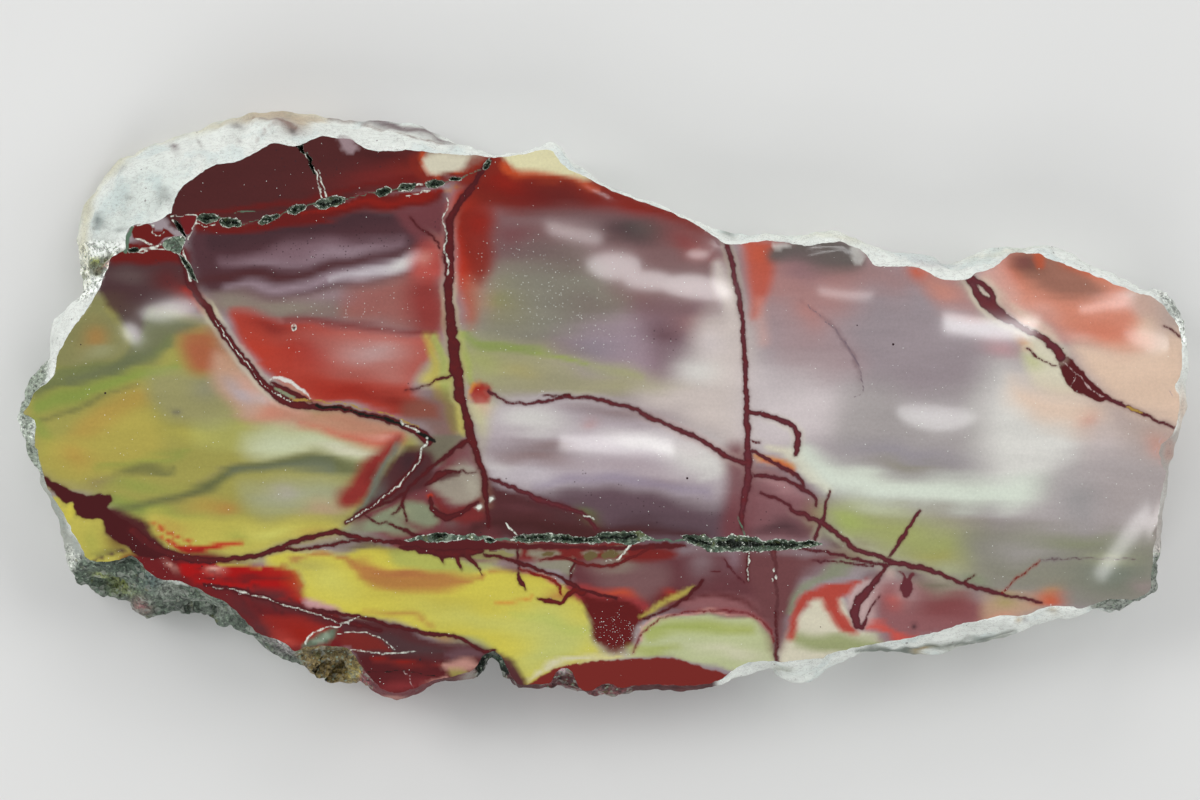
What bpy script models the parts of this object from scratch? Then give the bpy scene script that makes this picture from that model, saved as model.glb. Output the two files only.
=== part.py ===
"""A polished slab of mookaite jasper, one natural stone.

Two saw cuts made the slab: the front one is ground flat and polished, the back one is left as
sawn. Between them runs the stone's own outside: chalky rind along the top and the lower right,
broken rock at the lower left, chipped edges elsewhere. The slab lies on its sawn back at z = 0
with the polished face up, X along its length and Y across it.

Every rim point is drawn twice, on the polished face's edge and on the widest outline below it.
Drawing points run right and down, and one scale made from LENGTH turns them into metres.
"""

import math

import bmesh
import bpy
import numpy as np

# Driving dimensions in metres.
LENGTH = 0.300
THICKNESS = 0.025
SAWN_BACK_SET_IN = 0.0016
EYE_ABOVE_FACE = 1.10

# The drawing was made from this point, straight above the polished face.
EYE_X, EYE_Y = 600.0, 400.0

# How deep the widest outline lies, as a share of the thickness, under a narrow and a broad slope.
DEPTH_UNDER_NARROW_SLOPE = 0.26
DEPTH_UNDER_BROAD_SLOPE = 0.84
BROAD_SLOPE = 62.0

# Longest step between two rim points, in drawing points.
LONGEST_STEP = 14.0

# Rows of the side: shares of the way from the polished edge out to the widest outline, then
# shares of the way from there in and down to the edge of the sawn back.
UPPER_ROWS = (0.0, 0.10, 0.26, 0.46, 0.66, 0.84, 1.0)
LOWER_ROWS = (0.36, 0.74, 1.0)
ROUNDING = 0.50

# Lumps of the outside: their size across and their height, both in metres.
BROAD_LUMPS = (0.030, 0.0011)
SMALL_LUMPS = (0.011, 0.0006)
LUMP_FLATTENING = (1.0, 1.0, 2.0)
LUMP_SEED = 11

# The rim, anticlockwise from the left tip: polished edge x, y, then widest outline x, y.
LEFT_TIP_DOWN_TO_BROKEN_SIDE = [
    (24, 414, 20, 415), (30, 417, 19.4, 420), (36, 422, 21, 427), (35, 436, 25, 436),
    (35, 445, 29, 447), (38, 453, 32, 456), (40, 462, 36, 465), (43, 474, 40, 473),
    (47, 486, 45, 487), (54, 499, 52, 505), (62, 511, 58, 520), (69, 524, 63, 539),
    (75, 536, 67, 556), (82, 548, 70, 573), (86, 558, 74, 582.5),
]
BROKEN_SIDE = [
    (95, 561, 84, 587), (104, 562, 95, 593), (114, 561, 107, 597), (124, 557.5, 119, 600.5),
    (132, 556, 128, 603), (140, 561, 134, 610.5), (146, 570, 141, 616), (153, 575, 150, 617),
    (162, 579.5, 160, 615), (174, 580.5, 174, 610), (184, 583, 184, 613), (195, 587.5, 195, 613),
    (204, 591.5, 203, 615), (213, 597, 212, 622), (224, 601.5, 221, 628), (232, 608, 231, 629),
    (241, 616, 240, 631), (252, 628, 251, 639), (262, 635, 261, 646), (276, 639, 276, 654),
    (287, 645, 289, 660), (295, 651, 299, 662.5),
]
OCHRE_POCKET_TO_NOTCH = [
    (306, 647.5, 307, 668), (318, 646.5, 317, 676), (330, 646, 328, 679.5),
    (341, 647, 340, 680), (350, 650, 351, 680), (356, 658, 361, 680.5), (365, 671, 370, 686),
    (373, 681, 378, 692), (382, 688.5, 388, 696), (394, 693, 398, 698), (405, 691.5, 407, 695),
    (420, 686, 421, 688.5), (433, 680.5, 434, 683), (447, 677, 448, 680),
    (461, 674.5, 462, 678), (471, 671, 473, 676.5), (478, 664, 480, 673.5),
    (483, 655.5, 484.5, 668), (489, 652.5, 487.5, 661), (494, 651, 491.5, 656.5),
    (500, 655, 497, 661), (505, 663, 502, 671), (510, 674, 508, 679.5),
]
LOWER_EDGE = [
    (518, 683.5, 516, 686.5), (528, 684.5, 526, 687), (540, 684, 539, 686.5),
    (550, 682.5, 551, 687), (555, 674, 559, 686), (563, 668, 568, 689), (572, 672, 577, 691.5),
    (579, 687, 585, 693), (591, 691, 593, 694.5), (600, 686, 602, 695), (611, 683.5, 612, 694.5),
    (621, 688, 623, 691.5), (636, 685.5, 636, 688), (652, 684.5, 652, 687),
    (668, 685.2, 668, 687.7), (686, 685.5, 686, 688), (702, 685, 702, 688),
    (712, 683, 711, 686.5), (722, 678.5, 720, 682.5), (731, 671.5, 728, 678.5),
    (739, 666.5, 738, 674), (749, 662.5, 750, 671.5), (760, 661, 760, 669.7),
]
LIP_AND_LOWER_RIND = [
    (769, 661, 768.5, 668), (775, 660.5, 774, 668.5), (778, 661.5, 776, 672),
    (783, 662.5, 780, 676), (790, 661, 787, 679.5), (798, 660, 795, 681.5),
    (806, 659.5, 803, 681.8), (814, 659, 811, 679.5), (822, 658.5, 818, 674),
    (829, 654, 826, 668), (840, 651, 838, 661.5), (851, 648.5, 849, 657), (861, 646.5, 859, 654),
    (870, 645, 869, 651), (882, 642.5, 880, 650), (894, 640.5, 893, 650.3),
    (906, 638.5, 905, 651.5), (916, 636.6, 915, 653.5), (926, 634.5, 925, 653.7),
    (937, 631.8, 936, 653), (949, 628, 948, 650.5), (961, 624, 961, 646.3),
    (974, 621.5, 974, 643), (987, 618.8, 987, 640), (997, 616, 997, 636),
    (1006, 615.2, 1006, 634), (1018, 616, 1018, 631), (1029, 613.5, 1028, 627.3),
    (1038, 609.5, 1038, 622.8), (1048, 606.5, 1048, 620.5), (1060, 606.3, 1059, 616.7),
    (1071, 606.3, 1070, 614.2), (1079, 609, 1080, 611.5), (1087, 606.8, 1087, 608.6),
]
FROSTED_CORNER_AND_RIGHT_END = [
    (1095, 604, 1095, 606.8), (1103, 601, 1103, 608), (1111, 599, 1111, 610),
    (1119, 599, 1119, 609.5), (1127, 600, 1127, 606.5), (1134, 599, 1134, 603),
    (1142, 596, 1142, 599), (1148, 592, 1150, 595.5), (1151, 587, 1155, 591),
    (1151, 580, 1156.5, 585), (1151, 573, 1155, 577), (1152, 566, 1156.8, 569),
    (1153, 558, 1157.5, 560), (1154, 549, 1158.3, 550), (1155.5, 538, 1159, 538),
    (1157.5, 523, 1160, 524), (1159, 509, 1161.6, 510), (1161, 498, 1163.3, 498),
    (1163.5, 484, 1166, 484), (1166, 472, 1168.8, 472), (1162, 463, 1170.5, 463),
    (1159.5, 453, 1172.5, 454), (1162, 444, 1174.5, 444), (1171, 436, 1177, 437),
    (1176, 427, 1179.3, 428), (1178, 416, 1181, 417), (1179.5, 405, 1182.4, 406),
    (1179, 396, 1183, 397), (1175, 387, 1182.4, 387.5), (1180, 377, 1184, 377),
    (1181.7, 367, 1185, 368), (1181.7, 354, 1184.3, 354), (1181.5, 342, 1184.7, 342),
    (1180, 331, 1184.3, 331), (1176, 322, 1183, 321.5), (1170, 314, 1179.5, 312),
    (1164, 306.5, 1174, 303),
]
UPPER_RIGHT_RIND = [
    (1157, 300.5, 1168, 296.7), (1151, 296.5, 1160, 291.8), (1145.5, 294.8, 1153, 291.1),
    (1140.5, 294.2, 1147, 292.1), (1133, 291.8, 1138, 288.7), (1125, 288, 1129, 284),
    (1116, 284.7, 1119.5, 279.3), (1107, 281, 1110.5, 275.4), (1098, 277, 1101, 273.3),
    (1090, 274, 1094, 270.2), (1081, 271, 1085.5, 264.4), (1071, 266.8, 1076.5, 258.1),
    (1059, 262, 1066, 253.5), (1048, 258.7, 1055, 249.8), (1042, 254, 1044, 247.7),
    (1033, 254, 1033, 246.6), (1022, 252.5, 1020, 248), (1011.5, 253.5, 1008, 246.7),
    (1003, 260, 997, 247.3), (995, 267.2, 986, 249.5), (985, 271, 975, 254.3),
    (976, 273, 965, 258.8), (970, 277.8, 956, 262.8), (961, 280, 947.5, 264.4),
    (950, 280, 939.5, 263.4), (940, 279, 931.5, 259.7), (930, 273.3, 922, 258),
    (919, 267.7, 912, 255.8), (907, 266.4, 902, 255), (895, 266.7, 892, 254.7),
    (884, 266.7, 883.5, 250.1), (875, 265.6, 875, 247.3), (868, 257, 866, 245),
    (862, 250.5, 860, 242.4), (852, 246, 852, 239.3), (842, 242.3, 841, 235.3),
    (832, 242, 832, 233.3), (820, 244, 821.5, 234), (807, 245.7, 810, 236.2),
    (796, 244.3, 798, 238), (786, 242, 786, 238.8), (772, 241, 774, 236.5),
    (760, 241.3, 761, 235.8), (750, 242.5, 750, 236.7), (741, 244.5, 740, 235),
    (731, 244.8, 729, 232.7), (722, 241.5, 716, 230.3),
]
THIN_UPPER_EDGE = [
    (713, 236, 706, 227), (702, 228.5, 699, 223), (690, 221.2, 688, 217.3),
    (676, 214.8, 675, 211.6), (660, 208, 659, 205.4), (642, 202.4, 641, 199.6),
    (625, 195.8, 625, 193.5), (610, 189.8, 611, 188), (599, 184.2, 600, 181.8),
    (588, 178, 590, 175.3), (577, 173.3, 581, 169), (566.5, 168, 573.5, 162.3),
    (559.5, 161, 567, 155.2), (555.5, 155, 562, 148.2), (551, 150.8, 555.5, 143.9),
    (544.5, 149.7, 548, 142.7), (537.5, 150.4, 540, 144.5), (530.5, 152.8, 532, 148),
    (521, 154.6, 521.5, 152.2), (510, 156.3, 510, 154.3), (501, 157, 501, 155.1),
    (494, 158, 494, 154), (487.5, 156.8, 488.5, 152.2), (478, 155.5, 482, 150),
]
UPPER_LEFT_RIND = [
    (465, 155, 472, 146.9), (452, 154.3, 461, 144.9), (440, 153.7, 447.5, 140.4),
    (427, 151.8, 433, 133.8), (414, 150.8, 420.5, 127.5), (402, 150.5, 409, 122.9),
    (388, 151.2, 394, 121.9), (374, 150.8, 378, 121.6), (366, 148.8, 365, 121.3),
    (358, 144, 354, 121), (350, 139.5, 343, 120), (340, 138.2, 332, 118.3),
    (330, 137, 321, 116.3), (321.5, 135.8, 311, 114.7), (314, 139, 303, 113.9),
    (306.5, 142.3, 296, 113.5), (298, 146, 288, 113.2), (290, 145.8, 279, 113.2),
    (281, 144.2, 269, 113.2), (271, 143.4, 258, 114), (262, 148.5, 246, 115.7),
    (252, 154.3, 231, 117.7), (242, 159.5, 217, 121.4), (232, 162.7, 206, 126),
    (222, 163.3, 194, 130.3), (215, 164, 183, 133.3), (208.5, 168.3, 172, 137.4),
    (203, 172.3, 161, 142.2), (197, 176.3, 150, 146), (191, 180.6, 140.5, 150.3),
    (185, 184.9, 132.5, 156), (180.5, 189.3, 124, 156.6), (177, 194.5, 118, 160.5),
    (174.7, 200.5, 109, 173), (172.5, 206.6, 99, 186.5), (170.5, 213, 91, 196.5),
    (164, 217.5, 86, 205), (156, 221.5, 82.5, 215.5), (146, 223.5, 79.3, 228),
    (135, 224.3, 78, 240), (128, 230, 80, 252), (125.5, 239, 81, 264),
]
WHITE_LOBE_TO_LEFT_TIP = [
    (125.5, 249, 81.5, 279), (117, 253.5, 84, 291), (110, 259.5, 81, 298),
    (107.5, 269, 76.5, 305.5), (102.5, 279.5, 72, 311.5), (98.5, 289.5, 65, 315),
    (91, 303, 57.5, 320.3), (83, 314, 52.5, 327), (75, 325, 51, 337), (69, 334, 51, 347.5),
    (63, 345, 50, 358), (57, 356, 44.5, 365.5), (56, 366, 40, 370), (53.5, 376, 36, 375.5),
    (46, 384, 31, 383), (36, 390, 28, 391), (32, 397, 26.7, 399), (28.5, 405.5, 23, 408),
]

# Small cavities along the two quartz seams: x, y, half length, half width, tilt in degrees.
UPPER_SEAM_VUGS = [
    (208, 218, 11, 4.6, 0), (231, 222.8, 11.5, 5, -4), (269, 219, 11, 3.8, 22),
    (297, 209, 10, 4.4, 10), (330, 202, 16.5, 5, 14), (383, 191.5, 8.5, 4.2, 18),
    (406, 187.5, 9.5, 3.8, 12), (435, 183.5, 10, 4, 6), (454, 179.5, 6, 2.4, 6),
    (487, 164.5, 5.5, 2.6, 62), (133, 250.5, 6, 3, 0), (188, 268, 15, 2.8, -62),
]
MAIN_SEAM_VUGS = [
    (441, 536, 8.5, 3.6, 8), (491, 540, 5, 1.8, -4), (532, 537.5, 19, 4, -1),
    (573, 539.3, 23, 3.6, -3), (618, 537.5, 25, 5, 2), (699, 541.5, 18, 4.6, -14),
    (740, 544, 28, 7.4, -1), (783, 545, 24, 4.6, 1), (810, 543.3, 10, 2.8, 2),
]
VUG_DEPTH = 0.0022

# A narrow gap between two strips of quartz, and the open crack that runs in from the rind.
SLOT_FROM, SLOT_TO, SLOT_WIDTH, SLOT_DEPTH = (173.5, 219.5), (185.5, 238), 3.4, 0.005
CRACK_FROM, CRACK_TO, CRACK_WIDTH, CRACK_DEPTH = (288, 127), (313, 165), 4.6, 0.006

# Hollows in the outside: x, y, height above the back as a share, then three radii.
HOLLOWS = [
    ("ochre_pocket", 331, 668, 0.62, 25, 14, 22),
    ("olive_pocket", 99, 262, 0.72, 15, 11, 14),
    ("broken_side_scoop", 108, 583, 0.60, 20, 14, 20),
    ("second_scoop", 205, 607, 0.55, 24, 10, 16),
    ("rim_chip", 346, 144, 1.02, 9, 8, 9),
    ("small_rim_chip", 777, 246, 1.02, 9, 5.5, 6),
    ("round_rim_chip", 858, 254, 1.02, 7.5, 9, 6),
    ("dark_rind_pit", 98, 219, 0.64, 6, 8, 8),
]
KNOB = ("knob", 142, 602, 0.30, 11, 10, 20)


def smoothstep(share):
    """Goes smoothly from 0 to 1 as share does, and is flat outside."""
    share = np.clip(share, 0.0, 1.0)
    return share * share * (3.0 - 2.0 * share)


def refined(rim):
    """The rim with points added on a smooth curve through its own, where two lie far apart."""
    rows = []
    count = len(rim)
    for i in range(count):
        before, start, end, after = (rim[(i + k) % count] for k in (-1, 0, 1, 2))
        gap = max(math.dist(start[:2], end[:2]), math.dist(start[2:], end[2:]))
        pieces = max(1, math.ceil(gap / LONGEST_STEP))
        for k in range(pieces):
            t = k / pieces
            pull = 2 * start + (end - before) * t
            bend = (2 * before - 5 * start + 4 * end - after) * t**2
            turn = (3 * start - before - 3 * end + after) * t**3
            rows.append((pull + bend + turn) / 2)
    return np.array(rows)


def around(values, reach):
    """Each value's mean with its neighbours, going round the closed rim."""
    return sum(np.roll(values, k, axis=0) for k in range(-reach, reach + 1)) / (2 * reach + 1)


def lumps(points, size, seed):
    """Smooth lumps about `size` across: plane waves in seeded directions, added up."""
    rng = np.random.default_rng(seed)
    waves = rng.normal(size=(24, 3)) * 2.6 / size
    phases = rng.uniform(0.0, 2.0 * math.pi, 24)
    return np.sin(points @ waves.T + phases).sum(axis=1) / math.sqrt(12.0)


class Drawing:
    """Turns drawing points into metres on the slab."""

    def __init__(self, rim):
        slope = np.linalg.norm(rim[:, :2] - rim[:, 2:], axis=1)
        broad = smoothstep(slope / BROAD_SLOPE)
        share = DEPTH_UNDER_NARROW_SLOPE + (
            DEPTH_UNDER_BROAD_SLOPE - DEPTH_UNDER_NARROW_SLOPE
        ) * broad
        self.depth = THICKNESS * around(share, 2)
        seen = rim[:, 2:] - (EYE_X, EYE_Y)
        spread = seen * (1.0 + self.depth / EYE_ABOVE_FACE)[:, None]
        low, high = spread.min(axis=0), spread.max(axis=0)
        self.scale = LENGTH / (high[0] - low[0])
        self.middle = (low + high) / 2.0

    def place(self, points, depth):
        """x, y in metres of drawing points that lie `depth` below the polished face."""
        seen = np.asarray(points, float) - (EYE_X, EYE_Y)
        spread = seen * (1.0 + np.asarray(depth) / EYE_ABOVE_FACE)[..., None]
        return (spread - self.middle) * self.scale * (1.0, -1.0)


def outward(ring):
    """Unit vectors that point out of an anticlockwise ring of x, y points."""
    along = around(np.roll(ring, -2, axis=0) - np.roll(ring, 2, axis=0), 1)
    normal = np.stack([along[:, 1], -along[:, 0]], axis=1)
    return normal / np.linalg.norm(normal, axis=1)[:, None]


def side_rings(rim, drawing):
    """The rings of the side from the polished edge down to the edge of the sawn back."""
    edge = drawing.place(rim[:, :2], np.zeros(len(rim)))
    widest = drawing.place(rim[:, 2:], drawing.depth)
    out = outward(widest)
    rings = []
    for row in UPPER_ROWS:
        across = (1 - ROUNDING) * row + ROUNDING * math.sin(row * math.pi / 2)
        down = (1 - ROUNDING) * row + ROUNDING * (1 - math.cos(row * math.pi / 2))
        flat = edge + (widest - edge) * across
        height = THICKNESS - drawing.depth * down
        rings.append((flat, height, math.sin(row * math.pi) ** 0.6 if 0 < row < 1 else 0.0))
    for row in LOWER_ROWS:
        flat = widest - out * SAWN_BACK_SET_IN * row**2
        height = (THICKNESS - drawing.depth) * (1.0 - row)
        rings.append((flat, height, 0.8 * math.sin(row * math.pi * 0.85)))
    made = []
    for flat, height, freedom in rings:
        points = np.column_stack([flat, np.broadcast_to(height, len(flat))])
        bumps = BROAD_LUMPS[1] * lumps(points * LUMP_FLATTENING, BROAD_LUMPS[0], LUMP_SEED)
        bumps += SMALL_LUMPS[1] * lumps(points * LUMP_FLATTENING, SMALL_LUMPS[0], LUMP_SEED + 1)
        narrow = smoothstep(np.linalg.norm(widest - edge, axis=1) / 0.004)
        amount = bumps * freedom * (0.35 + 0.65 * narrow)
        points[:, :2] += out * np.minimum(amount, 0.0004)[:, None]
        made.append(points)
    return made


def new_object(name, mesh, collection):
    obj = bpy.data.objects.new(name, mesh)
    collection.objects.link(obj)
    return obj


def loft(name, rings, collection):
    """One closed body: quads between the rings, with a flat face at each end."""
    bm = bmesh.new()
    rows = [[bm.verts.new(point) for point in ring] for ring in rings]
    bm.faces.new(rows[0])
    bm.faces.new(rows[-1][::-1])
    for upper, lower in zip(rows, rows[1:]):
        for i in range(len(upper)):
            j = (i + 1) % len(upper)
            bm.faces.new((upper[j], upper[i], lower[i], lower[j]))
    bmesh.ops.recalc_face_normals(bm, faces=bm.faces)
    mesh = bpy.data.meshes.new(name)
    bm.to_mesh(mesh)
    bm.free()
    return new_object(name, mesh, collection)


def ball(name, centre, radii, tilt, cutters, segments=12, rings=6):
    """A squashed ball, for a hollow or a knob."""
    bm = bmesh.new()
    bmesh.ops.create_uvsphere(bm, u_segments=segments, v_segments=rings, radius=1.0)
    mesh = bpy.data.meshes.new(name)
    bm.to_mesh(mesh)
    bm.free()
    obj = new_object(name, mesh, cutters)
    obj.location = centre
    obj.rotation_euler = (0.0, 0.0, math.radians(tilt))
    obj.scale = radii
    return hidden(obj)


def bar(name, start, end, width, depth, drawing, cutters):
    """A narrow upright slot between two drawing points, open at the polished face."""
    ends = drawing.place([start, end], np.zeros(2))
    along = ends[1] - ends[0]
    bm = bmesh.new()
    bmesh.ops.create_cube(bm, size=1.0)
    mesh = bpy.data.meshes.new(name)
    bm.to_mesh(mesh)
    bm.free()
    obj = new_object(name, mesh, cutters)
    obj.location = (*ends.mean(axis=0), THICKNESS)
    obj.rotation_euler = (0.0, 0.0, math.atan2(along[1], along[0]))
    obj.scale = (np.linalg.norm(along), width * drawing.scale, 2 * depth)
    return hidden(obj)


def hidden(obj):
    obj.hide_render = True
    obj.display_type = "WIRE"
    return obj


def boolean(target, other, operation):
    modifier = target.modifiers.new(f"{operation.lower()} {other.name}", "BOOLEAN")
    modifier.operation = operation
    modifier.solver = "EXACT"
    modifier.object = other


def jasper_material():
    """Polished oxblood, mustard and lilac chert, given here as its mean colour."""
    material = bpy.data.materials.new("polished_jasper")
    material.use_nodes = True
    shader = material.node_tree.nodes["Principled BSDF"]
    shader.inputs["Base Color"].default_value = (0.28, 0.17, 0.13, 1.0)
    shader.inputs["Roughness"].default_value = 0.15
    shader.inputs["Metallic"].default_value = 0.0
    return material


def collection_named(name):
    collection = bpy.data.collections.new(name)
    bpy.context.scene.collection.children.link(collection)
    return collection


def main():
    for obj in list(bpy.data.objects):
        bpy.data.objects.remove(obj, do_unlink=True)
    stone = collection_named("mookaite jasper slab")
    cutters = collection_named("cutters")

    rim = refined(
        np.array(
            LEFT_TIP_DOWN_TO_BROKEN_SIDE
            + BROKEN_SIDE
            + OCHRE_POCKET_TO_NOTCH
            + LOWER_EDGE
            + LIP_AND_LOWER_RIND
            + FROSTED_CORNER_AND_RIGHT_END
            + UPPER_RIGHT_RIND
            + THIN_UPPER_EDGE
            + UPPER_LEFT_RIND
            + WHITE_LOBE_TO_LEFT_TIP,
            float,
        )
    )
    drawing = Drawing(rim)
    slab = loft("slab", side_rings(rim, drawing), stone)
    slab.data.materials.append(jasper_material())

    name, x, y, share, *radii = KNOB
    depth = THICKNESS * (1 - share)
    centre = (*drawing.place((x, y), depth), THICKNESS * share)
    knob = ball(name, centre, np.array(radii) * drawing.scale, 0, cutters)
    boolean(slab, knob, "UNION")

    for name, x, y, share, *radii in HOLLOWS:
        depth = THICKNESS * (1 - share)
        centre = (*drawing.place((x, y), depth), THICKNESS * share)
        hollow = ball(name, centre, np.array(radii) * drawing.scale, 0, cutters)
        boolean(slab, hollow, "DIFFERENCE")

    vugs = UPPER_SEAM_VUGS + MAIN_SEAM_VUGS
    for number, (x, y, half_length, half_width, tilt) in enumerate(vugs, start=1):
        centre = (*drawing.place((x, y), 0.0), THICKNESS)
        radii = (half_length * drawing.scale, half_width * drawing.scale, VUG_DEPTH)
        vug = ball(f"vug_{number}", centre, radii, tilt, cutters)
        boolean(slab, vug, "DIFFERENCE")

    slot = bar("slot", SLOT_FROM, SLOT_TO, SLOT_WIDTH, SLOT_DEPTH, drawing, cutters)
    boolean(slab, slot, "DIFFERENCE")
    crack = bar("crack", CRACK_FROM, CRACK_TO, CRACK_WIDTH, CRACK_DEPTH, drawing, cutters)
    boolean(slab, crack, "DIFFERENCE")


main()
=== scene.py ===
# %% [markdown]
# # A polished slab of mookaite jasper
#
# Mookaite is a chert: mud of tiny silica shells turned to stone and stained by iron, oxblood and
# vermilion where the iron is red, mustard and olive where it is yellow, lilac and grey where it is
# thin. A saw cut this slab out of a nodule and its front was polished, so its outline is still the
# nodule's own: chalky rind, chips and broken rock.
#
# The lesson dresses a plain CAD slab in four steps: shape, studio, paint, materials. Nothing is
# taken from an image. Every patch of colour is drawn as a few points, as on a stained glass
# cartoon, and mixed from the named paints of one palette.

import math

import bpy
import numpy as np
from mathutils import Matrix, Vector
from mathutils.geometry import delaunay_2d_cdt


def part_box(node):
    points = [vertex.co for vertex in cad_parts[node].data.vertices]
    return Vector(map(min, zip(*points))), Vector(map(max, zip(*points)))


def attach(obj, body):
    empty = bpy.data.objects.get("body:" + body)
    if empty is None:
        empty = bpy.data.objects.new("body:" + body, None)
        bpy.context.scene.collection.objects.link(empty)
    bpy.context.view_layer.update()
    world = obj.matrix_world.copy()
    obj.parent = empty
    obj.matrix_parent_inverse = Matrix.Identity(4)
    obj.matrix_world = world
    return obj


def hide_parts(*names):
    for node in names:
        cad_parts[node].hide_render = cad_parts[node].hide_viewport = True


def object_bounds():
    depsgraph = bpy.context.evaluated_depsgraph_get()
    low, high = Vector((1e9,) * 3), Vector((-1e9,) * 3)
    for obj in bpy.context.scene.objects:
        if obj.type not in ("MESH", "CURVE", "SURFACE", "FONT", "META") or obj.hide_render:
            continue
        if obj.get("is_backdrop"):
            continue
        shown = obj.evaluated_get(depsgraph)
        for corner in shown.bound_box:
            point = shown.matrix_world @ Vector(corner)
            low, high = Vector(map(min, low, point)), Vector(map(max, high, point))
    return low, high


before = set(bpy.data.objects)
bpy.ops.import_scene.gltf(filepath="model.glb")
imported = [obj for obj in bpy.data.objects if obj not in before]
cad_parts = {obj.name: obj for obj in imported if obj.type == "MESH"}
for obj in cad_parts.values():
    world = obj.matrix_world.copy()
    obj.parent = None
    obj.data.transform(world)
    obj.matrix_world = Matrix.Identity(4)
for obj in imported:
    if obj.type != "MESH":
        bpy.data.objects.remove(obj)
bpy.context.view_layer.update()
slab_low, slab_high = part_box("slab")
THICKNESS = slab_high.z - slab_low.z
print(f"the slab is {THICKNESS * 1000:.1f} mm thick")

# %% [markdown]
# ## The rim, drawn twice
#
# A slab like this has no simple outline. Each rim point was therefore drawn as a pair: where the
# polished face ends, and where the stone is widest below it. Where the two lie close, the stone
# drops off sharply; where they lie far apart, a broad slope of rind shows. Drawing points run
# right and down. Curves through the pairs would also do as Bezier splines, but plain numbers can
# be turned into an array at once, and every later step here works on whole arrays.

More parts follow.
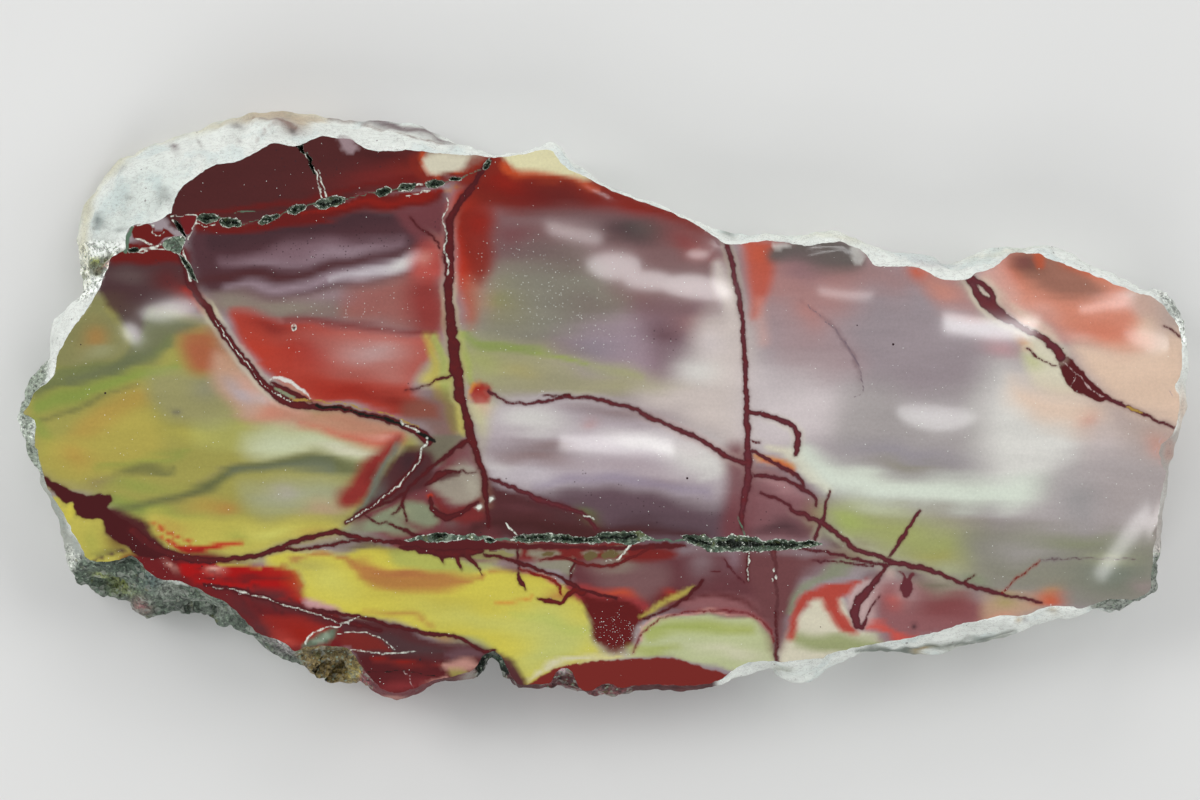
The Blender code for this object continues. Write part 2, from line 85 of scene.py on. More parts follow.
# %% The rim stations, anticlockwise from the left tip: polished edge x, y, widest outline x, y
RIM = {
    "left tip down to broken side": """
24 414 20 415 30 417 19.4 420 36 422 21 427 35 436 25 436 35 445 29 447 38 453 32 456 40 462 36 465
43 474 40 473 47 486 45 487 54 499 52 505 62 511 58 520 69 524 63 539 75 536 67 556 82 548 70 573
86 558 74 582.5
""",
    "broken side": """
95 561 84 587 104 562 95 593 114 561 107 597 124 557.5 119 600.5 132 556 128 603 140 561 134 610.5
146 570 141 616 153 575 150 617 162 579.5 160 615 174 580.5 174 610 184 583 184 613 195 587.5 195 613
204 591.5 203 615 213 597 212 622 224 601.5 221 628 232 608 231 629 241 616 240 631 252 628 251 639
262 635 261 646 276 639 276 654 287 645 289 660 295 651 299 662.5
""",
    "ochre pocket to notch": """
306 647.5 307 668 318 646.5 317 676 330 646 328 679.5 341 647 340 680 350 650 351 680 356 658 361 680.5
365 671 370 686 373 681 378 692 382 688.5 388 696 394 693 398 698 405 691.5 407 695 420 686 421 688.5
433 680.5 434 683 447 677 448 680 461 674.5 462 678 471 671 473 676.5 478 664 480 673.5
483 655.5 484.5 668 489 652.5 487.5 661 494 651 491.5 656.5 500 655 497 661 505 663 502 671
510 674 508 679.5
""",
    "lower edge": """
518 683.5 516 686.5 528 684.5 526 687 540 684 539 686.5 550 682.5 551 687 555 674 559 686 563 668 568 689
572 672 577 691.5 579 687 585 693 591 691 593 694.5 600 686 602 695 611 683.5 612 694.5 621 688 623 691.5
636 685.5 636 688 652 684.5 652 687 668 685.2 668 687.7 686 685.5 686 688 702 685 702 688
712 683 711 686.5 722 678.5 720 682.5 731 671.5 728 678.5 739 666.5 738 674 749 662.5 750 671.5
760 661 760 669.7
""",
    "lip and lower rind": """
769 661 768.5 668 775 660.5 774 668.5 778 661.5 776 672 783 662.5 780 676 790 661 787 679.5
798 660 795 681.5 806 659.5 803 681.8 814 659 811 679.5 822 658.5 818 674 829 654 826 668
840 651 838 661.5 851 648.5 849 657 861 646.5 859 654 870 645 869 651 882 642.5 880 650
894 640.5 893 650.3 906 638.5 905 651.5 916 636.6 915 653.5 926 634.5 925 653.7 937 631.8 936 653
949 628 948 650.5 961 624 961 646.3 974 621.5 974 643 987 618.8 987 640 997 616 997 636
1006 615.2 1006 634 1018 616 1018 631 1029 613.5 1028 627.3 1038 609.5 1038 622.8 1048 606.5 1048 620.5
1060 606.3 1059 616.7 1071 606.3 1070 614.2 1079 609 1080 611.5 1087 606.8 1087 608.6
""",
    "frosted corner and right end": """
1095 604 1095 606.8 1103 601 1103 608 1111 599 1111 610 1119 599 1119 609.5 1127 600 1127 606.5
1134 599 1134 603 1142 596 1142 599 1148 592 1150 595.5 1151 587 1155 591 1151 580 1156.5 585
1151 573 1155 577 1152 566 1156.8 569 1153 558 1157.5 560 1154 549 1158.3 550 1155.5 538 1159 538
1157.5 523 1160 524 1159 509 1161.6 510 1161 498 1163.3 498 1163.5 484 1166 484 1166 472 1168.8 472
1162 463 1170.5 463 1159.5 453 1172.5 454 1162 444 1174.5 444 1171 436 1177 437 1176 427 1179.3 428
1178 416 1181 417 1179.5 405 1182.4 406 1179 396 1183 397 1175 387 1182.4 387.5 1180 377 1184 377
1181.7 367 1185 368 1181.7 354 1184.3 354 1181.5 342 1184.7 342 1180 331 1184.3 331 1176 322 1183 321.5
1170 314 1179.5 312 1164 306.5 1174 303
""",
    "upper right rind": """
1157 300.5 1168 296.7 1151 296.5 1160 291.8 1145.5 294.8 1153 291.1 1140.5 294.2 1147 292.1
1133 291.8 1138 288.7 1125 288 1129 284 1116 284.7 1119.5 279.3 1107 281 1110.5 275.4 1098 277 1101 273.3
1090 274 1094 270.2 1081 271 1085.5 264.4 1071 266.8 1076.5 258.1 1059 262 1066 253.5
1048 258.7 1055 249.8 1042 254 1044 247.7 1033 254 1033 246.6 1022 252.5 1020 248 1011.5 253.5 1008 246.7
1003 260 997 247.3 995 267.2 986 249.5 985 271 975 254.3 976 273 965 258.8 970 277.8 956 262.8
961 280 947.5 264.4 950 280 939.5 263.4 940 279 931.5 259.7 930 273.3 922 258 919 267.7 912 255.8
907 266.4 902 255 895 266.7 892 254.7 884 266.7 883.5 250.1 875 265.6 875 247.3 868 257 866 245
862 250.5 860 242.4 852 246 852 239.3 842 242.3 841 235.3 832 242 832 233.3 820 244 821.5 234
807 245.7 810 236.2 796 244.3 798 238 786 242 786 238.8 772 241 774 236.5 760 241.3 761 235.8
750 242.5 750 236.7 741 244.5 740 235 731 244.8 729 232.7 722 241.5 716 230.3
""",
    "thin upper edge": """
713 236 706 227 702 228.5 699 223 690 221.2 688 217.3 676 214.8 675 211.6 660 208 659 205.4
642 202.4 641 199.6 625 195.8 625 193.5 610 189.8 611 188 599 184.2 600 181.8 588 178 590 175.3
577 173.3 581 169 566.5 168 573.5 162.3 559.5 161 567 155.2 555.5 155 562 148.2 551 150.8 555.5 143.9
544.5 149.7 548 142.7 537.5 150.4 540 144.5 530.5 152.8 532 148 521 154.6 521.5 152.2 510 156.3 510 154.3
501 157 501 155.1 494 158 494 154 487.5 156.8 488.5 152.2 478 155.5 482 150
""",
    "upper left rind": """
465 155 472 146.9 452 154.3 461 144.9 440 153.7 447.5 140.4 427 151.8 433 133.8 414 150.8 420.5 127.5
402 150.5 409 122.9 388 151.2 394 121.9 374 150.8 378 121.6 366 148.8 365 121.3 358 144 354 121
350 139.5 343 120 340 138.2 332 118.3 330 137 321 116.3 321.5 135.8 311 114.7 314 139 303 113.9
306.5 142.3 296 113.5 298 146 288 113.2 290 145.8 279 113.2 281 144.2 269 113.2 271 143.4 258 114
262 148.5 246 115.7 252 154.3 231 117.7 242 159.5 217 121.4 232 162.7 206 126 222 163.3 194 130.3
215 164 183 133.3 208.5 168.3 172 137.4 203 172.3 161 142.2 197 176.3 150 146 191 180.6 140.5 150.3
185 184.9 132.5 156 180.5 189.3 124 156.6 177 194.5 118 160.5 174.7 200.5 109 173 172.5 206.6 99 186.5
170.5 213 91 196.5 164 217.5 86 205 156 221.5 82.5 215.5 146 223.5 79.3 228 135 224.3 78 240
128 230 80 252 125.5 239 81 264
""",
    "white lobe to left tip": """
125.5 249 81.5 279 117 253.5 84 291 110 259.5 81 298 107.5 269 76.5 305.5 102.5 279.5 72 311.5
98.5 289.5 65 315 91 303 57.5 320.3 83 314 52.5 327 75 325 51 337 69 334 51 347.5 63 345 50 358
57 356 44.5 365.5 56 366 40 370 53.5 376 36 375.5 46 384 31 383 36 390 28 391 32 397 26.7 399
28.5 405.5 23 408
""",
}
STATIONS = np.array(" ".join(RIM.values()).split(), float).reshape(-1, 4)
print(f"{len(STATIONS)} rim stations")

# %% [markdown]
# ## Tools that every later step needs
#
# A drawing is written as text, one line for each thing that is drawn: its name, the settings,
# a colon and then its points. A line that starts with two spaces goes on with the one before.
#
# A curve goes through its points as a cubic spline. Lumps of any size, for stone that nobody made
# to a rule, are a few dozen plane waves added up, each in a direction drawn by a seeded generator,
# so the same stone comes out every time.


# %% Small text, curve and noise tools
WAVES, WAVE_RATE = 24, 2.6


def strokes(text):
    """Name, settings and numbers of every line of a drawing."""
    found = []
    for line in text.replace("\n  ", " ").strip().split("\n"):
        head, numbers = line.split(":")
        words = head.split()
        settings = [float(word) for word in words if word[0].isdigit()]
        name = " ".join(word for word in words if not word[0].isdigit())
        found.append((name, settings, [float(number) for number in numbers.split()]))
    return found


def smoothstep(share):
    """Goes smoothly from 0 to 1 as share does, and is flat outside."""
    share = np.clip(share, 0.0, 1.0)
    return share * share * (3.0 - 2.0 * share)


def spline(points, longest_step, closed=False):
    """A smooth curve through all the points: each span is the cubic that leaves and arrives
    along the line between its neighbours, cut into pieces no longer than longest_step."""
    points = np.asarray(points, float)
    if closed:
        padded = np.vstack([points[-1:], points, points[:2]])
    else:
        padded = np.vstack([points[:1], points, points[-1:]])
    rows = []
    for before, start, end, after in zip(padded, padded[1:], padded[2:], padded[3:]):
        span = end - start
        gap = max(np.hypot(*span[:2]), np.hypot(*span[2:4]) if len(span) == 4 else 0.0)
        t = np.arange(max(1, math.ceil(gap / longest_step)))[:, None]
        t = t / len(t)
        pull = 2 * start + (end - before) * t
        bend = (2 * before - 5 * start + 4 * end - after) * t**2
        turn = (3 * start - before - 3 * end + after) * t**3
        rows.append((pull + bend + turn) / 2)
    return np.vstack(rows if closed else rows + [points[-1:]])


def around(values, reach):
    """Each value's mean with its neighbours, going round the closed rim."""
    return sum(np.roll(values, k, axis=0) for k in range(-reach, reach + 1)) / (2 * reach + 1)


def lumps(points, size, seed):
    """Smooth lumps about `size` across: plane waves in seeded directions, added up."""
    rng = np.random.default_rng(seed)
    waves = rng.normal(size=(WAVES, 3))[:, : points.shape[1]] * WAVE_RATE / size
    phases = rng.uniform(0.0, 2.0 * math.pi, WAVES)
    return np.sin(points @ waves.T + phases).sum(axis=1) / math.sqrt(WAVES / 2)


BELL_STEEPNESS = 1.1


def along_and_across(points, x, y, tilt, long, wide):
    """Where points lie along and across a tilted spot, in its half length and half width."""
    turn = math.radians(tilt)
    away = points - (x, y)
    along = (away[:, 0] * math.cos(turn) + away[:, 1] * math.sin(turn)) / long
    across = (away[:, 1] * math.cos(turn) - away[:, 0] * math.sin(turn)) / wide
    return along, across


def bell(along, across):
    """1 in the middle of a spot, a third of it at its half axes, and soon nothing beyond."""
    return np.exp(-BELL_STEEPNESS * (along**2 + across**2))


print(f"a bell falls to {bell(1.0, 0.0):.2f} at its half length")

# %% [markdown]
# ## From the drawing to metres
#
# The drawing shows the stone as an eye 1.1 m above its face would: what lies deeper looks a little
# smaller. So a drawing point and a depth together give a place in metres, and the whole drawing is
# scaled until the slab is 300 mm long. How deep the widest outline lies is guessed from how broad
# the slope beside it looks: a broad one reaches nearly down to the back.


# %% From drawing points to metres
LENGTH = 0.300
EYE_ABOVE_FACE = 1.10
EYE = np.array([600.0, 400.0])
DEPTH_UNDER_NARROW_SLOPE = 0.26
DEPTH_UNDER_BROAD_SLOPE = 0.84
BROAD_SLOPE = 62.0
RIM_STEP = 3.2

rim = spline(STATIONS, RIM_STEP, closed=True)
broad = smoothstep(np.linalg.norm(rim[:, :2] - rim[:, 2:], axis=1) / BROAD_SLOPE)
share = DEPTH_UNDER_NARROW_SLOPE + (DEPTH_UNDER_BROAD_SLOPE - DEPTH_UNDER_NARROW_SLOPE) * broad
widest_depth = THICKNESS * around(share, 10)
spread = (rim[:, 2:] - EYE) * (1.0 + widest_depth / EYE_ABOVE_FACE)[:, None]
low, high = spread.min(axis=0), spread.max(axis=0)
SCALE = LENGTH / (high[0] - low[0])
MIDDLE = (low + high) / 2.0


def place(points, depth=0.0):
    """x, y in metres of drawing points that lie `depth` below the polished face: what lies
    deeper is farther from the eye, so it is spread away from the point below the eye."""
    seen = np.asarray(points, float) - EYE
    spread = seen * (1.0 + np.asarray(depth) / EYE_ABOVE_FACE)[..., None]
    return (spread - MIDDLE) * SCALE * (1.0, -1.0)


def seen_from_eye(xyz):
    """The drawing point under which the eye sees a place in metres: `place`, backwards."""
    spread = xyz[..., :2] / (SCALE, -SCALE) + MIDDLE
    return spread / (1.0 + (THICKNESS - xyz[..., 2:]) / EYE_ABOVE_FACE) + EYE


print(f"{len(rim)} rim points, {SCALE * 1000:.4f} mm to a drawing point")

# %% [markdown]
# ## Camera, floor and lights
#
# The slab lies on its sawn back, so the camera hangs straight above the polished face and looks
# down. Its place follows from the drawing: the eye point of the drawing, at the height that the
# drawing assumes, with a lens that takes in exactly the drawing's width.
#
# A polished face is a mirror, and the camera sees a part of the ceiling in it. The large soft
# boxes that light the stone stand outside that part, so they don't veil the colours. Inside it
# hang only small dim cards at the camera's height. Their reflections are the soft bars that show
# how well the stone is polished, and in any other view they move, as on the real stone.

# %% Camera
FRAME_WIDTH = 1200
SENSOR = 36.0

camera = bpy.data.objects.new("camera", bpy.data.cameras.new("camera"))
bpy.context.scene.collection.objects.link(camera)
camera.data.sensor_width = SENSOR
camera.data.lens = SENSOR * EYE_ABOVE_FACE / (FRAME_WIDTH * SCALE)
camera.data.clip_start, camera.data.clip_end = 0.05, 20.0
eye_xy = place(EYE)
camera.location = (*eye_xy, THICKNESS + EYE_ABOVE_FACE)
bpy.context.scene.camera = camera
print(f"lens {camera.data.lens:.1f} mm")


# %% Floor
def plain_material(name, colour, roughness):
    material = bpy.data.materials.new(name)
    material.use_nodes = True
    shader = material.node_tree.nodes["Principled BSDF"]
    shader.inputs["Base Color"].default_value = (*colour, 1.0)
    shader.inputs["Roughness"].default_value = roughness
    return material


def surface_object(name, points, faces):
    mesh = bpy.data.meshes.new(name)
    mesh.from_pydata(np.asarray(points).tolist(), [], faces)
    obj = bpy.data.objects.new(name, mesh)
    bpy.context.scene.collection.objects.link(obj)
    return obj


FLOOR_HALF_SIDE = 3.0
corners = np.array([(-1, -1, 0), (1, -1, 0), (1, 1, 0), (-1, 1, 0)]) * FLOOR_HALF_SIDE
floor = surface_object("floor", corners, [(0, 1, 2, 3)])
floor.data.materials.append(plain_material("pale_paper", (0.70, 0.70, 0.69), 0.9))
floor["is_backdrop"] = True
print(f"a floor {2 * FLOOR_HALF_SIDE:.0f} m wide")


# %% Lights
def soft_box(name, stand, size, power, colour=(1.0, 1.0, 1.0)):
    """A rectangular area light that looks at the middle of the slab."""
    data = bpy.data.lights.new(name, "AREA")
    data.shape = "RECTANGLE"
    data.size, data.size_y = size
    data.energy = power
    data.color = colour
    light = bpy.data.objects.new(name, data)
    bpy.context.scene.collection.objects.link(light)
    light.location = stand
    light.rotation_euler = (-Vector(stand)).to_track_quat("-Z", "Y").to_euler()
    return light


soft_box("box_upper_left", (-1.15, 0.75, 1.25), (0.9, 0.9), 9.2)
soft_box("box_upper_right", (1.15, 0.75, 1.25), (0.9, 0.9), 7.9)
soft_box("box_front", (0.0, -1.35, 1.20), (1.6, 0.7), 7.3)
soft_box("low_left", (-1.30, 0.20, 0.62), (0.6, 0.5), 5.0)
soft_box("low_right", (1.30, 0.10, 0.62), (0.6, 0.5), 4.2)
soft_box("low_back", (0.10, 1.25, 0.62), (0.9, 0.5), 4.8)
soft_box("low_front", (-0.20, -1.25, 0.62), (0.9, 0.5), 4.0)


SLENDER = 4


def mirrored_card(name, x, y, long, wide, tilt, level):
    """A dim card at the camera's height whose mirror image lies in the polish at a drawing point.
    The card is twice as far from the lens as its image, and twice as large."""
    size = 2 * long * SCALE, 2 * wide * SCALE
    stand = 2 * np.array(place((x, y))) - eye_xy
    power = level * math.pi * size[0] * size[1]
    card = soft_box(name, (*stand, THICKNESS + EYE_ABOVE_FACE), size, power)
    card.rotation_euler = (0.0, 0.0, math.radians(tilt))
    card.data.shape = "ELLIPSE" if long < SLENDER * wide else "RECTANGLE"
    card.visible_camera = False


# Drawing x, y of the reflection, half length, half width, tilt in degrees, brightness.
MIRRORED = [
    (618, 445, 106, 18, -2, 9), (990, 328, 84, 19, -4, 13), (700, 289, 78, 28, -4, 9),
    (650, 280, 70, 22, -12, 8), (608, 259, 54, 28, -10, 8), (574, 230, 40, 10, -8, 8),
    (841, 287, 54, 7, -8, 8), (1146, 337, 44, 18, -14, 5), (1106, 306, 56, 7, 14, 8),
    (938, 413, 90, 26, -2, 6), (1130, 542, 96, 14, 50, 8), (172, 311, 42, 15, 8, 9),
    (142, 333, 18, 19, 0, 10), (705, 250, 26, 9, -8, 9),
]
for number, card in enumerate(MIRRORED):
    mirrored_card(f"mirrored_card_{number}", *card)

world = bpy.data.worlds.new("studio")
bpy.context.scene.world = world
world.use_nodes = True
sky = world.node_tree.nodes["Background"]
sky.inputs["Color"].default_value = (0.96, 0.98, 1.0, 1.0)
sky.inputs["Strength"].default_value = 0.25
bpy.context.scene.view_settings.view_transform = "Standard"
print(f"{len(MIRRORED)} cards mirrored in the polish")

# %% [markdown]
# ## Paints
#
# One palette for the whole stone, mixed and written as a painter reads them, red, green and blue
# from 0 to 255 as they look under the studio's light. The renderer wants linear light, so each is
# converted once. The polish mirrors a little of the pale room over every colour, and that thin
# veil is taken off again here.


# %% Palette
PAINTS = """
oxblood 80 42 42, brick 126 44 36, crimson 148 38 28, vermilion 182 60 42, scarlet 166 26 16,
orange red 198 84 48, orange 206 134 62, salmon 206 136 114, pink 216 164 150, maroon 86 36 38,
dark maroon 52 17 19, plum 78 54 56, aubergine 82 54 59, mauve 124 98 106, lilac 158 138 147,
pale lilac 194 186 191, grey mauve 152 140 144, pale grey 178 173 169, grey white 212 210 204,
cream 208 202 180, pale green 194 200 166, olive 140 134 90, olive grey 140 136 118, taupe 106 91 89,
yellow green 160 168 92, leaf green 130 148 72, mustard 176 162 80, ochre 166 134 66, lemon 198 196 104,
yellow 200 188 78, terracotta 176 124 68, dark olive 98 102 68, dark plum 58 42 46,
oxblood red 116 42 40, dark salmon 160 92 84, rosy 180 124 116, cream yellow 214 208 168,
mauve brown 124 94 94, blue grey 138 132 142, dark mauve 104 76 82, yellow green grey 160 156 118,
white lilac 206 196 196, dusty rose 166 122 118, dark grey green 96 92 88, lilac grey 150 138 142,
rosy grey 160 138 140, mid grey 162 156 154, pale green grey 188 188 174, umber 132 96 84,
warm grey 184 164 152, peach 218 190 168, mustard olive 156 150 80, salmon grey 186 148 124,
brick orange 164 92 66, rosy red 196 84 74, pale olive 160 162 128, yellow olive 186 176 84,
maroon red 108 36 38, pink mauve 190 146 148, pale olive yellow 182 186 112, rosy dark 148 58 60,
grey olive dark 112 106 90, pale taupe 152 142 128, sage 132 138 112, purple 94 72 80,
violet grey 142 130 146, dark rose 116 64 68, warm maroon 102 60 64, dusty mauve 140 92 94,
sage green 150 156 112, brick rose 174 72 62, pale rose 184 158 156, leaf bright 164 182 94,
grey green 134 132 118, dark sage 108 116 104, cool grey 164 156 156, peach grey 182 150 124,
blue chalk 228 236 230, cream chalk 222 220 196, tan 196 176 150, pit grey 120 126 122,
glassy grey 150 160 146, facet grey 176 180 170, broken rock 84 96 84, dark broken 36 44 38,
blue broken 84 100 102, ochre rock 120 104 66, frosted mauve 150 128 132, frosted grey 124 130 122,
end grey 190 184 178, brick deep 104 34 32, crimson brick 156 46 38, beige white 200 188 182,
stone 184 178 160, brick orange red 182 82 62, lilac light 176 164 169, cream olive 190 186 142,
mauve grey 116 100 108, wine 108 38 38, blob red 98 34 34, lens red 118 44 40, funnel 110 68 70,
vein edge 62 28 32, plum vein 98 48 54, band maroon 74 32 34, pale quartz 150 166 146,
moss quartz 112 116 58, cool veil 228 238 242, grey rose 130 106 104, crimson dusk 140 52 48,
coral brick 170 66 54, olive lobe 132 130 86, moss 108 116 76, ochre orange 178 146 74,
sage olive 148 144 102, salmon brown 184 128 108, brown rose 118 82 70, maroon dusk 84 48 50,
moss dark 104 108 82, brown olive 104 90 60, seam maroon 72 40 40, bay green 180 186 142,
white green 208 216 202, cool shade 140 138 138, dusky rose 128 82 86, dark facet 112 120 110,
quartz 92 114 96, dark quartz 70 78 66, white quartz 222 228 216, chalk 242 246 240, soot 30 32 26
"""
PALETTE = {}
for entry in PAINTS.replace("\n", " ").split(","):
    *words, red, green, blue = entry.split()
    PALETTE[" ".join(words)] = int(red), int(green), int(blue)
VEIL, DARKEST = 0.010, 0.002


def mixed(name):
    """A paint's linear colour, without the veil that the polish lays over it."""
    shade = np.array(PALETTE[name]) / 255.0
    linear = np.where(shade < 0.04045, shade / 12.92, ((shade + 0.055) / 1.055) ** 2.4)
    return np.maximum(linear - VEIL, DARKEST)


print(f"{len(PALETTE)} paints")

# %% [markdown]
# ## Veins
#
# Long after the mud had hardened it cracked, and the cracks filled with iron-rich jasper. They
# show as maroon lines, some with a crack of dark or white quartz inside. A vein is drawn as a
# line of points with a width at each, x, y, width in drawing points, and an island of jasper or a
# seam of crystals as a closed outline. Texture painting could do this too, but numbers keep the
# edge sharp at any distance and can be corrected one at a time.

# %% Veins and threads: paint, softness of the edge, then x, y, width along the line;
# shapes and crystal seams: paint, softness, then x, y round the outline
VEINS = strokes("""
maroon 1: 178.8 251 5 184 267 5 189 281 6 198 296 6.5 208 310 7 225 335.5 7 235 349 7 246 362.5 7.5
  263 383 8 275 393.5 9 286 401 9 298 405.5 8 312 407 6.5 325 407.5 6 342 409 6 359 413 6 380 418 6
  402 425 7 418 432 9 428 440 11
maroon 1: 420 456.7 6 413 468 6 405 478 6 400 483 6 385 497 6 366 510 5 345 523 4
maroon 1: 430 497 3 433 509 5 446 517 7 462 512 5 478 502 3
maroon 1: 404 494 3 402 504 3 405 514 2.5 408 521 2
maroon 1: 402 504 2.5 396 511 2 392 515 1.5
maroon 1: 388 524 2.5 400 528 3 412 534 3.5 424 538 3
maroon 1: 366 515 2 376 522 2.5 386 522 2
maroon 0.9: 460 470 1.5 468 474 1.2 476 472 1
maroon 1: 472.4 188.2 4 461.2 202.4 5 453 212.7 6 450 226 8 449 245.3 9 448 251 10 449 270 9.5 449 292 9
  450.5 323 9 452 331 13 451.5 336.3 8 453.5 345 14 455 358 10 456.4 371 13 458 380 10 459 391.4 10
  464 406.7 7 468 422 9.5 470 434 10 474.5 447.6 7 479 462 6 483 475 6 486 490 6 487 502 5 488 514 4
  489 526 3
maroon 1.2: 489 161 5 476 180 5 459 202 5 452 215 5
maroon 1: 410.2 217.8 1.6 425.5 232 2 437.8 241.2 2 439.3 247.3 2
maroon 1: 451 375 3 435.7 380.2 2.5 424.5 385.3 2 405 390.4 1.5
maroon 1.2: 468 440 5 450 453 4 425 473 4 400 496 3 372 509 3 345 523 3
maroon 1: 464 471 1 450 472 4 440 474 7 432 481 5 424 486 2
plum vein 1: 488.8 391.4 3 503 399.6 2.5 512.2 403.7 2.5 521 403 2.5 531.6 403.7 3 537.8 401.6 3 551 400.6 3
  560 398 3 579 397 3.5 594 398 3.5 609 402 4 622 405 4 637 410 4.5 650 417 4.5 663 423 4.5 678 429 4.5
  693 436 4.5 706 443 4.5 721 453 5 733 459 5 744 463 6
maroon 0.8: 542.9 394.5 2 560 396 2.5 570 396 2.5
plum vein 1: 725 238 4 729 253 5 734 273 5 738 294 5 742 314 5 744 340 5 745 368 5 747 406 5.5 747 437 6
  748 463 7 748 483 7 743 503 6 742 529 4
maroon 0.8: 748 553 3 748 568 3 748 581 3
funnel 1.6: 774 552 7 775 566 3.5 777 596 3 777 625 3 776 650 4 777 667 5
maroon 1: 776 612 2 776.5 640 2.6 777 667 3
plum vein 1: 748 412 5 767 415 5 788 424 5 797 432 6 797 445 6 795 456 4
plum vein 1: 752 451 4 775 463 4 799 478 4 806 491 3
plum vein 1: 755 475 4 780 478 4 805 490 4 815 498 3.5 816 507 2.5
plum vein 0.8: 752 440 3 761 442 2
plum vein 1: 760 493 3 788 504 3 792 510 4 807.6 516 5 823 524 5 833 531.4 5 841 537 5 855 549 6 872 554 5
  889 561 5 911 566 5 934 571 4.5 956 581 4 979 588 4 1001 594 3.5 1024 598 3 1041 603 3
plum vein 0.8: 830 490 2 825.4 510 3 822.9 520 3 816.7 535.5 3 814.7 543.7 2
plum vein 0.8: 920 511 2.5 913 521 4 906 532 4 890 557 3
maroon 0.8: 975 575 2 963 582 2
crimson 0.8: 1001 594 1.6 1013 581 1.4 1027 571 1.4 1041 561 1.2
mauve grey 0.8: 1041 561 1.2 1062 559 0.9 1083 558.5 1 1110 559 0.7 1135 559 0.6
plum vein 1: 890 562 3 884 570 4 878 578 5 870 588 6.5 861 598 8 856 607 9 854 616 8 857 625 6 862 629 3
plum vein 0.8: 861 629 3 867 619 2.5 872 606 2 880 594 1.2
plum vein 1: 966 276 5 976 281 6 985 287 6.5 992 295 6 993 304 6 1004 315 6
plum vein 1: 947.8 264.6 1.5 956.9 268.5 2 967 276 6 973 286 7 979 296 8 988 305 11 998 312 12 1006 318 9
  1018 325 6 1030 331 6 1043 338 6.5 1053 346 8 1061 356 10
plum vein 1: 1108 399 4 1130 408 3.5 1141 413 3.5 1153 419 3 1167 425 3 1178 428 2
plum vein 0.8: 1027 349 2.5 1038 357 2 1047 362 1.5 1057 366 1.5
plum vein 0.8: 1164.3 326 2 1172 331 2 1180.6 336.8 2
maroon 1: 132 530 8 145 541 9 166 552 8 198 560 7 241 558 5 273 551 5 295 542 5 332 532 5 348 535 5
  375 541 4 400 541 4
maroon 1: 270 381.5 2 277 385.5 5 286 391 7 297 396 6 311 401.5 2
maroon 1: 273 551 4 300 549 3 330 545 3 352 541 3 375 541 3
plum vein 1: 489 478 3 510 486 4 543 501 5 579 512 4 597 528.4 4
maroon 1: 400 547 4 415 550 5 434 552 7 451 554 8 468 552 7 482 551 5
maroon 0.8: 484.7 555.4 3 502 558 3 515 562 3.5 532.7 567 3.5 548 573 3.5 560 578 3.5 571 584 4 588 592 4
  616 598 3
maroon 0.8: 436 552 5 441 558 4 445 565 1
maroon 0.8: 455 552 5 459 562 4 463 571 1
maroon 0.8: 464 552 6 474 562 4 482 575 1
maroon 0.8: 518.4 548 2.5 517.5 560 2.5 518.4 572 2
maroon 0.8: 518.4 574 3 520 580 5 523 586 4 525.5 590 1
oxblood red 0.8: 540 560 2 560 558 3 581 563 3 601 567 3 613.5 565.6 3 627 559 3 642 553 3 652 548 2
maroon 0.8: 575.7 559 2 572 570 2.5 568.6 581.4 2
brick deep 0.9: 538 599 3 549 601 4 560 602 4 568 596 5 576 590 6 584 594 6
maroon 1: 644 620 2 673 606 3 689 595 3.5 703 581 4
maroon 1: 313 609 3 361 617 4 396 627 4 428 633 4 460 638 4 480 650 4 496 651 3
plum vein 0.8: 722.9 558 1.5 726 563 2 731 569 2 744.3 582.4 1.5
plum vein 0.8: 711.6 571.7 1 720.8 571.2 1.5
maroon 1: 204 584 3 235 590 5 260 597 5 280 603 4 300 609 4 325 617 5 350 623 5 380 630 4
plum vein 0.9: 800 548 2.5 830 553 3 860 560 3 886 565 3
plum vein 0.9: 812 560 1.5 840 562 2 872 566 2
rosy dark 1.2: 634 652 1.6 640 638 2 652 625 2 668 617 1.8 700 611 1.6 745 613 1.6 766 625 1.8 774 642 2
crimson 1: 520 569 2 535 574 3 549 579 3 558 585 3 561 593 3
""")
